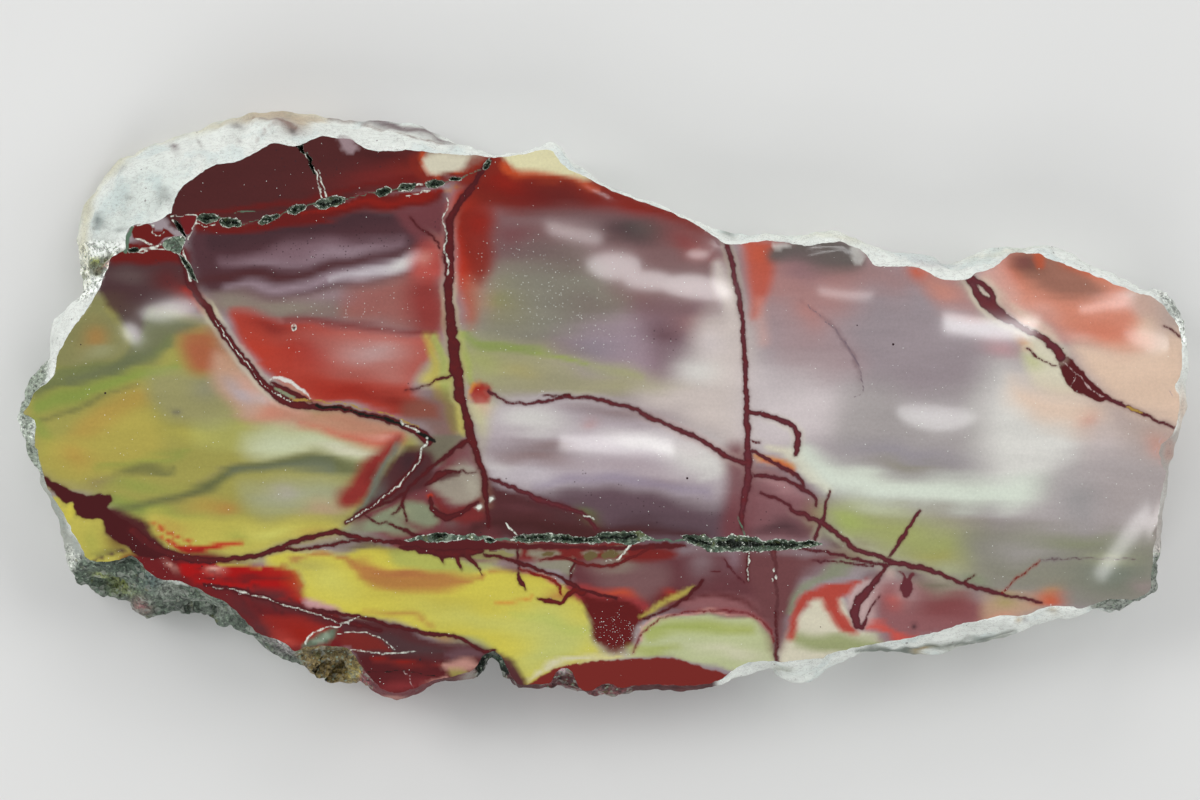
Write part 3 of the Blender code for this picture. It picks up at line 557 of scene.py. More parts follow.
THREADS = strokes("""
soot 0.8: 316 406 2.5 337 408 2.5 359 413 2.5 380 418 2.5 402 425 3
soot 1: 418 433 3 427 437 4 434 441 3
ochre 0.7: 292 399.5 1 310 401 1.4 335 402 1.4 357 407 1.5 378 412 1.5 400 419 1.5 418 427 1.2
sage 0.9: 275 388 1.6 284 393.5 3.4 294 398 2
ochre 0.8: 291 399 1.2 299 401 2 307 402.5 1
grey white 1: 269 379 1 278 377.5 3 289 382 3.6 300 388.5 3.4 311 398 1
white quartz 0.5: 208 311 0.3 219 326 0.9 225 335.6 1 232 346 0.8 246 362 1 262 383 0.7 276 394 0.9
  292 403 0.7
pale rose 0.4: 1172 383 0.8 1170.2 390 1 1173 397 0.8
pale rose 0.4: 1166 433 0.8 1159 441 1 1156.5 452 1 1159 462 1 1164 467 0.8
white quartz 0.6: 773.2 569 2 773.6 571 2
white quartz 0.6: 776.8 576.4 1.8 777 578 1.8
white quartz 0.6: 773.4 580 1.6 773.6 581.5 1.6
quartz 0.7: 405 540 1.6 420 538 2.6 440 537 2.2 460 538 1.8 480 537 2.2 500 540 2 516 539 2.6
quartz 0.7: 648 539.5 2.2 664 540 1.8 684 541 2.4
white quartz 0.6: 178.8 251 1.2 183.5 263 1.2 187 272 1.2 190.5 281 1
white quartz 0.6: 183.5 249 1.2 188 262 1.2 192.5 273 1.2 196.5 283 0.8
white quartz 0.7: 400 422 0.8 412.2 428.2 1.5 425.5 436.3 1.5 427.6 441.4 1.5 424.5 446 1.4 421 450.6 1.3
  420 456.7 1.3 413 468 1.2 400 483 1 372 506 0.9 345 523 0.8
white quartz 0.7: 446.4 197.3 1 447 209.6 1 443.4 216.7 1 445.4 229 1.1 447 240.2 1.1 443.4 246.3 1
  446.4 257.6 1.1 448 267.8 1.1 447 276 1
white quartz 0.6: 315.7 170 1 319 184 1.1 322.9 198.6 1.2
white quartz 0.6: 318.8 170 1 323 184 1.1 327 196.5 1.2
white quartz 0.6: 292.3 130.8 1 297 142 0.9 303 150 0.9 309 160 0.9 315.7 170 1
white quartz 0.6: 405.7 196.4 1 418 193 1.1 430.2 190.3 1
white quartz 0.6: 416 187 1.6 422 185 1.6
quartz 0.6: 218 217 1 223 219.5 1
quartz 0.6: 234 213 1 245 211.5 1.4 257 211 1
quartz 0.6: 242 224 1 250 222 1 259 220 1
quartz 0.6: 279 217 1 288 211 1
quartz 0.6: 306 206 1 315 204 1
quartz 0.6: 346 198.5 1.2 360 196 1 375 193 1
quartz 0.6: 391 190 1 398 188 1
quartz 0.6: 445 181.5 1 452 180 1
quartz 0.6: 459 178 1.2 470 175 1 481 169 0.9
white quartz 0.6: 133 226 0.9 143 224 0.9 153 225 0.9 152 232 0.9 158 235 0.9 165 232 0.9
white quartz 0.6: 171 216 0.9 181 215.5 0.9 196 215 0.9 197 222 0.9 191 231 1 188 240 1
white quartz 0.6: 172 219 0.9 178 229 0.9 183 240 1
white quartz 0.6: 196 224 0.8 206 226 0.8 216 224 0.8
white quartz 0.6: 132 251 0.9 140 253 0.9 152 249 0.9 165 249 0.9
white quartz 0.6: 488.9 161.2 1.2 485.3 168.4 1.2
white quartz 0.6: 489.5 153 0.9 489 161 0.9
white quartz 0.7: 134.9 238 1.2 144 242 1.3 153.3 245 1.2
white quartz 0.7: 138 251.2 1.4 145 248.2 1.4 153.3 247 1.4 160.4 244 1.4
quartz 0.8: 124.7 251.2 5 127 240 6 131.8 227.8 4
white quartz 0.6: 506 522 1.2 510 528 1.4 515.3 533.5 1.2
white quartz 0.6: 629.8 544.7 1.6 624.7 553 1.8 615.5 560.5 1.4 606.3 560 1
quartz 0.6: 658.4 539.6 2 670.6 540 2
white quartz 0.6: 580.8 515 1 588 517 1.2 595 519 1
quartz 0.6: 738.2 516 1.4 744.3 534.5 1.6
white quartz 0.6: 748.4 553 1.2 748.4 567 1 748.4 581.4 1
white quartz 0.7: 212 586 0.5 235 590 0.9 260 597 1 280 603 0.8 300 609 1 325 618 0.9 350 624 0.6
white quartz 0.7: 304 648 1 310 636 1.4 322 629 1.4 338 626 1.2
white quartz 0.6: 338 634 0.8 352 631.5 0.9 368 634 0.9 385 640 0.8 394 650 0.7
white quartz 0.7: 350 650 1.2 370 652 1.4 395 653.5 1.3 415 651.5 1
white quartz 0.6: 338 627 1 350 620 1 366 616 0.8
mauve grey 0.6: 808 306 0.5 824 320 1 838 335 1.3 850 352 1.4 860 370 1.3 862.5 386 1.1 860 395 0.9
  853 398 0.6
soot 0.6: 368 671 0.7 385 672 0.9 400 670.5 0.9 412 672 1 430 676 0.9 448 677 0.7
pale rose 0.5: 404 672 0.6 410 680 0.8 414 690 0.7
white quartz 0.5: 355 662 0.8 361 672 0.9 367 682 1 376 692 1 390 698 0.9
ochre 0.7: 1127 407 2.2 1134 409.5 2.6 1142 413 2
pale rose 0.6: 1064 362 1 1078 375 1.1 1090 388 1.1 1104 397 0.8
pale rose 0.6: 1076 373 0.8 1071 386 1
pale rose 0.6: 1085 382 0.8 1088 392 0.8
pale rose 0.6: 1006 312 0.8 1020 322 1 1040 334 0.8
white quartz 0.5: 290.5 325 1 293 323.6 0.8 295.6 325 0.8 295.6 329 0.8 293 330.2 0.8 290.5 328.6 0.8
  290.5 325 0.7
soot 0.6: 293 326 2.5 293.5 327.5 2.5
grey white 0.7: 1050 604 1 1049.5 610 1 1049 616 1
""")
SHAPES = strokes("""
band maroon 1.2: 38 472 48 479 56 483 68 489 79 493 90 495.5 101 494.5 111 494.5 113 500 107 507 113 514
  122 518 131 524 138 530 144 537 151 544 160 549 170 553 160 557 146 558 134 554 128 547 118 541 108 534
  104 526 102 520 90 519 80 518 75 515 73 503 66 505 60 500 50 488
maroon 1: 1059 360 1069 357 1080 368 1091 380 1108 396 1116 402 1097 401 1084 395 1071 388 1062 374
plum vein 1: 898 570 903 577 901 583 899 589 903 596 907 600 911 594 914 588 912 581 915 575 911 572 907 579
  904 574
white quartz 0.8: 489 497 492 496 494 499 491 501 488 500
white quartz 0.8: 477 505 480 504 482 507 479 510 476 508
vermilion 1: 427 495 430 493 433 496 431 499 428 498
maroon red 0.8: 180.8 216.5 195 216.5 196 221.6 188 233.9 183.9 230.8
brick deep 0.8: 133 226 152 225 163 228 174 236 165 238 160 242 153 245 141 241 133 237
grey mauve 0.8: 151 225 157 222 163 226 161 232 154 233
olive 0.8: 469 555 480 551 500 551 515 555 500 559 480 559
brown olive 0.9: 540 553.5 548 551 556 553.5 548 556
brown olive 0.9: 584 556 590 551 597 556 590 560
brown olive 0.9: 600 555 609 551 620 553 610 558
maroon 1: 396 541 430 541 470 540 515 543 560 545 600 546 640 545 664 542 690 546 664 548 640 550 600 550
  560 549 515 549 484 551 468 556 451 558.5 434 556 415 550
lens red 1.2: 527 688 546 674 566 665 588 662 616 660 658 658 680 659 700 667 723 673 731 676 715 684
  690 690 640 694 580 696 545 694
""")
CRYSTAL_SEAMS = strokes("""
quartz 0.8: 403 541 418 537 432 534.5 446 533 462 535 478 535 492 537 480 540 462 540.5 446 541.5 424 541.5
quartz 0.8: 161.4 245 167.6 239 178.8 237 184.9 240 181.8 249.2 179.8 255.3 171.6 252.2 165.5 248.2
quartz 0.9: 513 537 540 533.5 570.6 535.5 591 537 600 533.5 611.4 532 638 531 646 535 653.3 538.6 650 540.6
  643 541.6 635 543.2 627 544.7 622 543.2 611 541.6 597 543.2 579 543.2 560 542.4 540 542 513 541.6
quartz 0.9: 681 539.6 686 536.5 698.4 536 703.5 533 708.6 537 720.8 536 737 535.5 755.5 536.5 764.7 540.6
  778 539.6 787 540 802.4 540.6 815.7 541.6 822.9 544.7 802.4 547.8 788 549.3 778 550.3 764.7 551.3
  747.3 551.3 729 550.8 717.8 552.3 705.5 549.8 696.3 544.7 686 541.6
quartz 0.8: 432 535 441 532 450 536 449 541 440 540 432 538
quartz 0.8: 469 536 474 533.5 480 536 476 539 470 539
quartz 0.8: 484 539 491 536.5 497 540 491 543.5 485 542
""")

print(f"{len(VEINS)} veins, {len(THREADS)} threads, {len(SHAPES)} shapes")

# %% [markdown]
# ## How deep a point lies in a drawing
#
# A material draws its sharpest edges from a number that crosses zero there, not from a colour,
# because between two points of the mesh a number changes evenly. So for every point the depth in
# the nearest vein or shape is worked out: positive inside, negative outside, and no longer
# followed beyond a few drawing points.


# %% How far a point lies inside a stroke or a shape
def nearest(points, curve):
    """For each point, the distance to a line of points and the line's other columns there: the
    foot of the perpendicular on each piece, kept within the piece, and the nearest of them."""
    start, end = curve[:-1], curve[1:]
    span = (end - start)[:, :2]
    long = np.maximum((span**2).sum(axis=1), 1e-9)
    away = points[:, None, :] - start[None, :, :2]
    share = np.clip((away * span).sum(axis=2) / long, 0.0, 1.0)
    gap = np.linalg.norm(away - share[..., None] * span, axis=2)
    best = gap.argmin(axis=1)
    row = np.arange(len(points))
    share = share[row, best][:, None]
    return gap[row, best], start[best, 2:] * (1 - share) + end[best, 2:] * share


def inside(points, outline):
    """True where a line to the right from the point crosses the outline an odd number of times."""
    x, y = points[:, None, 0], points[:, None, 1]
    start, end = outline[:-1], outline[1:]
    rise = np.where(end[:, 1] == start[:, 1], 1e-9, end[:, 1] - start[:, 1])
    at = start[:, 0] + (y - start[:, 1]) / rise * (end[:, 0] - start[:, 0])
    spans = (start[:, 1] > y) != (end[:, 1] > y)
    return ((spans & (x < at)).sum(axis=1) % 2).astype(bool)


def close_to(points, curve, reach):
    """The numbers of the points within `reach` of a curve's bounding box."""
    low, high = curve[:, :2].min(axis=0) - reach, curve[:, :2].max(axis=0) + reach
    return np.flatnonzero(((points > low) & (points < high)).all(axis=1))


def depth_in_stroke(points, line, step=3.0):
    """Half the stroke's width there, less the distance to its middle line."""
    gap, width = nearest(points, spline(line, step))
    return width[:, 0] / 2.0 - gap


def depth_in_shape(points, outline, step=4.0):
    """The distance to the outline, and minus that distance outside it."""
    curve = spline(outline, step, closed=True)
    curve = np.vstack([curve, curve[:1]])
    gap, _ = nearest(points, curve)
    return np.where(inside(points, curve), gap, -gap)


SHARP_REACH, SPARE_REACH = 7.0, 3.0


def drawn(points, drawings, depth_in, columns):
    """Depth in units of softness, and colour, of the drawing that each point is deepest in."""
    depth = np.full(len(points), -SHARP_REACH)
    colour = np.zeros((len(points), 3))
    for paint, (softness,), numbers in drawings:
        outline = np.array(numbers).reshape(-1, columns)
        pick = close_to(points, outline, SHARP_REACH + SPARE_REACH)
        if len(pick) == 0:
            continue
        here = depth_in(points[pick], outline) / softness
        won = here > depth[pick]
        depth[pick[won]] = here[won]
        colour[pick[won]] = mixed(paint)
    return depth, colour


DRAWINGS = {
    "shape": (SHAPES, depth_in_shape, 2),
    "vein": (VEINS, depth_in_stroke, 3),
    "thread": (THREADS, depth_in_stroke, 3),
    "crystal": (CRYSTAL_SEAMS, depth_in_shape, 2),
}
print(f"{len(DRAWINGS)} kinds of sharp drawings")

# %% [markdown]
# ## The points of the polished face
#
# The face is flat, so its shape needs hardly any points, but its paint and its small cavities do.
# A lattice of triangles covers it, each point a millimetre from the next, and where an edge of
# colour runs the lattice is twice as fine, and in the cavities four times. Blender's own constrained
# Delaunay triangulation joins them all to the rim without a gap.

# %% Lattices that lie in each other
COARSE = 4.0
SINE_60 = math.sqrt(3.0) / 2.0
CRUMBLING = 0.35


def lattice(low, high, step):
    """Rows of points one step apart, each second row moved by half a step. It is anchored at the
    drawing's origin, so a lattice of half the step holds every point of this one."""
    rise = step * SINE_60
    row = np.arange(math.floor(low[1] / rise), math.ceil(high[1] / rise) + 1)
    column = np.arange(math.floor(low[0] / step), math.ceil(high[0] / step) + 1)
    row, column = np.meshgrid(row, column, indexing="ij")
    x = column * step + np.where(row % 2 == 0, 0.0, step / 2.0)
    return np.stack([x.ravel(), (row * rise).ravel()], axis=1)


def ragged(points, amount=1.0):
    """The points moved a little, so that what is drawn with them gets a natural, uneven edge."""
    shift = [lumps(points, 9.0, 31), lumps(points, 9.0, 32)]
    fine = [lumps(points, 3.6, 33), lumps(points, 3.6, 34)]
    return points + amount * (0.55 * np.stack(shift, axis=1) + 0.25 * np.stack(fine, axis=1))


polished_rim = rim[:, :2]
crumbled = np.stack([lumps(polished_rim, 5.0, 41), lumps(polished_rim, 5.0, 42)], axis=1)
edge = polished_rim + crumbled * CRUMBLING
edge_line = np.vstack([edge, edge[:1]])


def shrunk(outline, margin):
    """An anticlockwise ring of drawing points, moved inwards by a margin."""
    along = around(np.roll(outline, -2, axis=0) - np.roll(outline, 2, axis=0), 1)
    inward = np.stack([along[:, 1], -along[:, 0]], axis=1)
    return outline + margin * inward / np.linalg.norm(inward, axis=1)[:, None]


def lattice_within(outline, step, margin):
    """The lattice's points inside an outline: along each row, the stretches between the first
    crossing and the second, the third and the fourth, and so on."""
    ring = shrunk(outline, margin)
    start, end = ring, np.roll(ring, -1, axis=0)
    points = lattice(ring.min(axis=0), ring.max(axis=0), step)
    kept = []
    for y in np.unique(points[:, 1]):
        line = points[points[:, 1] == y]
        cut = (start[:, 1] > y) != (end[:, 1] > y)
        share = (y - start[cut, 1]) / (end[cut, 1] - start[cut, 1])
        crossings = np.sort(start[cut, 0] + share * (end[cut, 0] - start[cut, 0]))
        kept.append(line[np.searchsorted(crossings, line[:, 0]) % 2 == 1])
    return np.vstack(kept)


def unite(*groups):
    """All groups' points, each place once."""
    points = np.vstack(groups)
    _, first = np.unique(np.round(points, 2), axis=0, return_index=True)
    return points[np.sort(first)]


print(f"the polished edge has {len(edge)} points")


# %% Lattice points where they are needed
SHARP_BAND = 3.0


def near_sharp_edge(points):
    """True close to the edge of anything that is drawn with a sharp edge."""
    loose = ragged(points)
    depths = [drawn(loose, *drawing)[0] for drawing in DRAWINGS.values()]
    return (np.abs(depths) < SHARP_BAND).any(axis=0)


coarse = lattice_within(edge, COARSE, 0.5 * COARSE)
fine = lattice_within(edge, COARSE / 2, 0.3 * COARSE)
fine = fine[near_sharp_edge(fine)]
face_points = unite(edge, coarse, fine)
print(f"{len(coarse)} coarse and {len(fine)} fine points, {len(face_points)} in all")

# %% [markdown]
# ## Cavities and hollows
#
# Where the quartz did not fill its crack there are small cavities, and the outside has pockets
# and one knob. All of them are balls squashed along the axes. A Boolean would cut them as sharply
# as a drill; here every point that lies in a ball is moved along its own normal until it leaves
# the ball, so the surface stays one sheet and a cavity's wall can be as rough as the stone. The
# plain CAD slab has the same balls cut out.

# %% Balls
# Along the seams: x, y, half length, half width, tilt in degrees.
UPPER_SEAM_VUGS = [
    (208, 218, 11, 4.6, 0), (231, 222.8, 11.5, 5, -4), (269, 219, 11, 3.8, 22),
    (297, 209, 10, 4.4, 10), (330, 202, 16.5, 5, 14), (383, 191.5, 8.5, 4.2, 18),
    (406, 187.5, 9.5, 3.8, 12), (435, 183.5, 10, 4, 6), (454, 179.5, 6, 2.4, 6),
    (487, 164.5, 5.5, 2.6, 62), (133, 250.5, 6, 3, 0), (188, 268, 15, 2.8, -62),
]
MAIN_SEAM_VUGS = [
    (441, 536, 8.5, 3.6, 8), (491, 540, 5, 1.8, -4), (532, 537.5, 19, 4, -1),
    (573, 539.3, 23, 3.6, -3), (618, 537.5, 25, 5, 2), (699, 541.5, 18, 4.6, -14),
    (740, 544, 28, 7.4, -1), (783, 545, 24, 4.6, 1), (810, 543.3, 10, 2.8, 2),
]
# The gap between two strips of quartz and the crack that runs in from the rind.
GAPS = [(179.5, 228.7, 11, 1.9, -57), (298, 141, 15, 2.6, -64), (311, 163, 12, 1.6, -70)]
VUG_DEPTH, GAP_DEPTH = 0.0022, 0.005
# In the outside: x, y, height above the back as a share, then three radii.
HOLLOWS = [
    (331, 668, 0.62, 25, 14, 22), (99, 262, 0.72, 15, 11, 14), (108, 583, 0.60, 20, 14, 20),
    (205, 607, 0.55, 24, 10, 16), (98, 219, 0.64, 6, 8, 8),
]
KNOB = (142, 602, 0.30, 11, 10, 20)


def way_out(places, direction, centre, radii, tilt=0.0):
    """How far each place has to move along its direction to leave a squashed ball: the larger
    root of the quadratic for the ball's surface, and 0 for a place outside the ball."""
    turn = math.radians(tilt)
    x_axis = np.array([math.cos(turn), math.sin(turn), 0.0])
    y_axis = np.array([-math.sin(turn), math.cos(turn), 0.0])
    axes = np.stack([x_axis, y_axis, (0.0, 0.0, 1.0)]) / np.array(radii)[:, None]
    start, step = (places - centre) @ axes.T, direction @ axes.T
    a, b, c = (step**2).sum(axis=1), (start * step).sum(axis=1), (start**2).sum(axis=1) - 1.0
    root = np.sqrt(np.maximum(b**2 - a * c, 0.0))
    return np.where(c < 0.0, (root - b) / a, 0.0)


CAVITIES = UPPER_SEAM_VUGS + MAIN_SEAM_VUGS + GAPS
print(f"{len(CAVITIES)} cavities, {len(HOLLOWS)} hollows and a knob")


# %% The polished face as a sheet
WAVE, WAVE_LENGTH = 0.000012, 0.035
CRYSTAL_SIZES, CRYSTAL_HEIGHT = (0.0011, 0.0006), 0.00032
FAR = 9.0


def face_height(points):
    """How high the polished face lies over each drawing point: flat, with the faint waves that
    polishing leaves, less the deepest cavity there, and rough where there is one."""
    flat = place(points)
    ground = THICKNESS + WAVE * lumps(flat, WAVE_LENGTH, 51) * smoothstep(edge_gap(points) / 12.0)
    loose = place(ragged(points))
    top = np.column_stack([loose, np.full(len(points), THICKNESS)])
    down = np.broadcast_to((0.0, 0.0, -1.0), top.shape)
    depth = np.zeros(len(points))
    for vugs, floor_depth in ((UPPER_SEAM_VUGS + MAIN_SEAM_VUGS, VUG_DEPTH), (GAPS, GAP_DEPTH)):
        for x, y, half_length, half_width, tilt in vugs:
            centre = (*place((x, y)), THICKNESS)
            radii = (half_length * SCALE, half_width * SCALE, floor_depth)
            depth = np.maximum(depth, way_out(top, down, centre, radii, tilt))
    large, small = (lumps(flat, size, 52 + k) for k, size in enumerate(CRYSTAL_SIZES))
    rough = CRYSTAL_HEIGHT * (np.abs(large) + 0.6 * np.abs(small)) * smoothstep(depth / 0.0008)
    return ground - np.maximum(depth - rough, 0.0)


def edge_gap(points):
    """The distance to the polished edge, worked out only near it."""
    gap = np.full(len(points), 99.0)
    for low in np.array_split(edge, 24):
        part = np.vstack([low, low[-1:]])
        pick = close_to(points, part, 14.0)
        gap[pick] = np.minimum(gap[pick], nearest(points[pick], part)[0])
    return gap


def vug_gap(points):
    """Roughly the distance from the nearest cavity's edge, negative inside; FAR at most."""
    loose = ragged(points)
    gap = np.full(len(points), FAR)
    for x, y, half_length, half_width, tilt in CAVITIES:
        pick = close_to(loose, np.array([(x, y)], float), half_length + FAR)
        along, across = along_and_across(loose[pick], x, y, -tilt, half_length, half_width)
        reach = np.hypot(along, across)
        slope = np.hypot(along / half_length, across / half_width) / np.maximum(reach, 1e-6)
        gap[pick] = np.minimum(gap[pick], (reach - 1.0) / np.maximum(slope, 1e-6))
    return gap


vug_boxes = [
    lattice(np.array([x - a - 5, y - a - 5]), np.array([x + a + 5, y + a + 5]), COARSE / 4)
    for x, y, a, _, _ in CAVITIES
]
finest = np.vstack(vug_boxes)
finest = finest[(vug_gap(finest) < 2.6) & (edge_gap(finest) > 0.5) & inside(finest, edge_line)]
face_flat = unite(face_points, finest)


def triangles_within(points, ring):
    """Triangles between points of which the first `ring` are the outline they stay within."""
    corners = [Vector(point) for point in points.tolist()]
    solved = delaunay_2d_cdt(corners, [], [list(range(ring))], 1, 1e-4, True)
    assert len(solved[0]) == len(points), "two points fell together"
    triangles = np.array(solved[2])
    across = (triangles < ring).all(axis=1)
    outline = np.vstack([points[:ring], points[:1]])
    across[across] = ~inside(points[triangles[across]].mean(axis=1), outline)
    return triangles[~across]


face_triangles = triangles_within(face_flat, len(edge))
heights = face_height(face_flat)
heights[: len(edge)] = THICKNESS
face_xyz = np.column_stack([place(face_flat), heights])
print(f"{len(face_triangles)} triangles in the polished face, {len(finest)} points in cavities")

# %% [markdown]
# ## The outside
#
# The rest of the stone is one surface of two parameters: round the rim, and from the polished
# edge out to the widest outline, then down to the sawn back. Between the two drawn rings it bulges
# like a quarter of a circle. Stretched noise in several sizes then lifts it along its normals:
# soft and low on the rind, with sharp crests where the rock is broken.

# %% The outside as a grid
UPPER_ROWS = np.linspace(0.0, 1.0, 16)
LOWER_ROWS = np.linspace(0.0, 1.0, 8)[1:]
ROUNDING = 0.50
SAWN_BACK_SET_IN = 0.0016
BROAD_LUMPS, SMALL_LUMPS, LUMP_SEED = (0.030, 0.0011), (0.011, 0.0006), 11
LUMP_FLATTENING, TALLEST_LUMP = (1.0, 1.0, 2.0), 0.0004


def outward(ring):
    """Unit vectors that point out of an anticlockwise ring of x, y places."""
    along = around(np.roll(ring, -6, axis=0) - np.roll(ring, 6, axis=0), 6)
    normal = np.stack([along[:, 1], -along[:, 0]], axis=1)
    return normal / np.linalg.norm(normal, axis=1)[:, None]


def outside_grid():
    """Rows from the polished edge down to the back, and each place's share of freedom to move."""
    top, widest = place(edge), place(rim[:, 2:], widest_depth)
    out = outward(widest)
    rows, freedom = [], []
    for row in UPPER_ROWS:
        across = (1 - ROUNDING) * row + ROUNDING * math.sin(row * math.pi / 2)
        down = (1 - ROUNDING) * row + ROUNDING * (1 - math.cos(row * math.pi / 2))
        flat = top + (widest - top) * across
        rows.append(np.column_stack([flat, THICKNESS - widest_depth * down]))
        freedom.append(math.sin(row * math.pi) ** 0.6 if 0 < row < 1 else 0.0)
    for row in LOWER_ROWS:
        flat = widest - out * SAWN_BACK_SET_IN * row**2
        rows.append(np.column_stack([flat, (THICKNESS - widest_depth) * (1.0 - row)]))
        freedom.append(0.8 * math.sin(row * math.pi * 0.85))
    grid, freedom = np.array(rows), np.array(freedom)
    narrow = smoothstep(np.linalg.norm(widest - top, axis=1) / 0.004)
    for size, height, seed in ((*BROAD_LUMPS, LUMP_SEED), (*SMALL_LUMPS, LUMP_SEED + 1)):
        bumps = height * lumps(grid.reshape(-1, 3) * LUMP_FLATTENING, size, seed)
        bumps = bumps.reshape(grid.shape[:2]) * freedom[:, None] * (0.35 + 0.65 * narrow)
        grid[..., :2] += out * np.minimum(bumps, TALLEST_LUMP)[..., None]
    return grid, out


def grid_normals(grid):
    """Unit normals from the cross product of the two directions of the grid."""
    along = np.roll(grid, -1, axis=1) - np.roll(grid, 1, axis=1)
    down = np.gradient(grid, axis=0)
    normal = np.cross(down, along)
    return normal / np.maximum(np.linalg.norm(normal, axis=2), 1e-12)[..., None]


grid, out = outside_grid()
normals = grid_normals(grid)
pointing_out = (normals[len(UPPER_ROWS) // 2, :, :2] * out).sum(axis=1).mean()
print(f"{grid.shape[0]} rows of {grid.shape[1]} places, normals point out: {pointing_out:.2f}")

# %% [markdown]
# ## Rind and broken rock
#
# Weathering left a chalky rind with a soft, low relief. Where the nodule was knocked, the dark
# rock breaks with sharp crests. Both are lumps of noise: a crest is where a wave crosses zero, so
# it is half less the wave's size. Below the widest outline nothing of the drawing is left to be
# seen, so there the sides repeat what lies at the edge, leaning a little to the left or the right
# so that no stripes run straight down.

# %% Where the outside is broken rock, and its relief
LEAN, LEAN_SIZE = 9.0, 0.016
TALLEST_RELIEF = 0.0006
BROKEN_ROCK = [
    [(66, 545), (84, 556), (130, 553), (160, 575), (215, 592), (262, 632), (300, 645), (312, 690),
     (250, 665), (200, 640), (120, 620), (64, 590)],
    [(296, 640), (352, 642), (372, 690), (300, 690)],
    [(478, 645), (514, 645), (514, 690), (478, 690)],
    [(82, 245), (120, 245), (112, 275), (78, 300)],
    [(546, 662), (580, 662), (582, 702), (544, 702)],
    [(590, 676), (628, 676), (628, 704), (590, 704)],
    [(1094, 588), (1128, 584), (1150, 556), (1168, 540), (1180, 570), (1160, 614), (1100, 620)],
    [(16, 370), (46, 352), (42, 400), (40, 440), (46, 474), (30, 470), (14, 430)],
    [(1158, 290), (1184, 292), (1198, 345), (1184, 345), (1170, 312)],
]


def how_broken(points):
    """1 in broken rock and 0 in rind, with a soft change between them."""
    amount = np.zeros(len(points))
    for outline in BROKEN_ROCK:
        outline = np.array(outline, float)
        pick = close_to(points, outline, 5.0)
        depth = depth_in_shape(points[pick], outline)
        amount[pick] = np.maximum(amount[pick], smoothstep(0.5 + depth / 8.0))
    return amount


row_share = np.arange(len(grid)) / (len(grid) - 1)
side_drawn = seen_from_eye(grid)
below = np.clip(np.arange(len(grid)) - len(UPPER_ROWS) + 2, 0, None) / len(LOWER_ROWS)
wander = lumps(grid.reshape(-1, 3), LEAN_SIZE, 81).reshape(grid.shape[:2])
wander = LEAN * below[:, None] * wander
leaning = (np.arange(grid.shape[1]) + np.rint(wander).astype(int)) % grid.shape[1]
side_drawn[len(UPPER_ROWS) :] = side_drawn[len(UPPER_ROWS) - 1][leaning[len(UPPER_ROWS) :]]
broken = how_broken(side_drawn.reshape(-1, 2)).reshape(grid.shape[:2])

freedom = smoothstep(row_share / 0.10) * smoothstep((1.0 - row_share) / 0.12)
places = grid.reshape(-1, 3) * LUMP_FLATTENING
soft_relief = 0.00022 * lumps(places, 0.0060, 61) + 0.00010 * lumps(places, 0.0022, 62)
crests = 0.00080 * (0.5 - np.abs(lumps(places, 0.0085, 63)))
crests += 0.00040 * (0.5 - np.abs(lumps(places, 0.0034, 64)))
relief = soft_relief + (crests - soft_relief) * broken.ravel()
relief = np.minimum(relief.reshape(grid.shape[:2]), TALLEST_RELIEF) * freedom[:, None]
grid += normals * relief[..., None]

flat_grid, inwards = grid.reshape(-1, 3), -grid_normals(grid).reshape(-1, 3)
for x, y, height, *radii in HOLLOWS:
    centre = (*place((x, y), THICKNESS * (1 - height)), THICKNESS * height)
    move = way_out(flat_grid, inwards, centre, np.array(radii) * SCALE)
    flat_grid[len(edge) :] += (inwards * move[:, None])[len(edge) :]
x, y, height, *radii = KNOB
centre = (*place((x, y), THICKNESS * (1 - height)), THICKNESS * height)
move = way_out(flat_grid, -inwards, centre, np.array(radii) * SCALE)
flat_grid -= inwards * move[:, None]
flat_grid[:, 2] = np.clip(flat_grid[:, 2], 0.0, THICKNESS)
grid = flat_grid.reshape(grid.shape)
grid[-1, :, 2] = 0.0
print(f"the relief goes from {relief.min() * 1000:.2f} to {relief.max() * 1000:.2f} mm")

# %% [markdown]
# ## One closed mesh
#
# The saw left the back flat, so wide triangles do. Face, outside and back share their rings of
# points, and the three are joined into one mesh without a seam. Each part keeps its own material.
# Where two triangles meet at more than 38 degrees the edge stays sharp.


# %% The sawn back, and all of the stone in one closed mesh
BACK_STEP = 9.0
SHARP_ANGLE = math.radians(38.0)


def to_drawing(flat):
    """Drawing points straight above x, y in metres."""
    return np.asarray(flat) / (SCALE, -SCALE) + MIDDLE + EYE


back_ring = to_drawing(grid[-1, :, :2])
back_inner = lattice_within(back_ring, BACK_STEP, 0.5 * BACK_STEP)
back_triangles = triangles_within(np.vstack([back_ring, back_inner]), len(back_ring))
back_xyz = np.column_stack([place(back_inner), np.zeros(len(back_inner))])


def facing(triangles, flat, up):
    """The triangles with their corners in the order that makes them face up, or down."""
    a, b, c = (flat[triangles[:, k]] for k in range(3))
    turn = (b[:, 0] - a[:, 0]) * (c[:, 1] - a[:, 1]) - (b[:, 1] - a[:, 1]) * (c[:, 0] - a[:, 0])
    wrong = (turn > 0) != up
    return np.where(wrong[:, None], triangles[:, ::-1], triangles)


ring = len(edge)
first_side, first_back = len(face_xyz), len(face_xyz) + (len(grid) - 1) * ring
side_numbers = np.arange(first_side, first_back).reshape(-1, ring)
side_numbers = np.vstack([np.arange(ring), side_numbers])
upper, lower = side_numbers[:-1], side_numbers[1:]
next_upper, next_lower = np.roll(upper, -1, axis=1), np.roll(lower, -1, axis=1)
side_quads = np.stack([next_upper, upper, lower, next_lower], axis=-1).reshape(-1, 4)

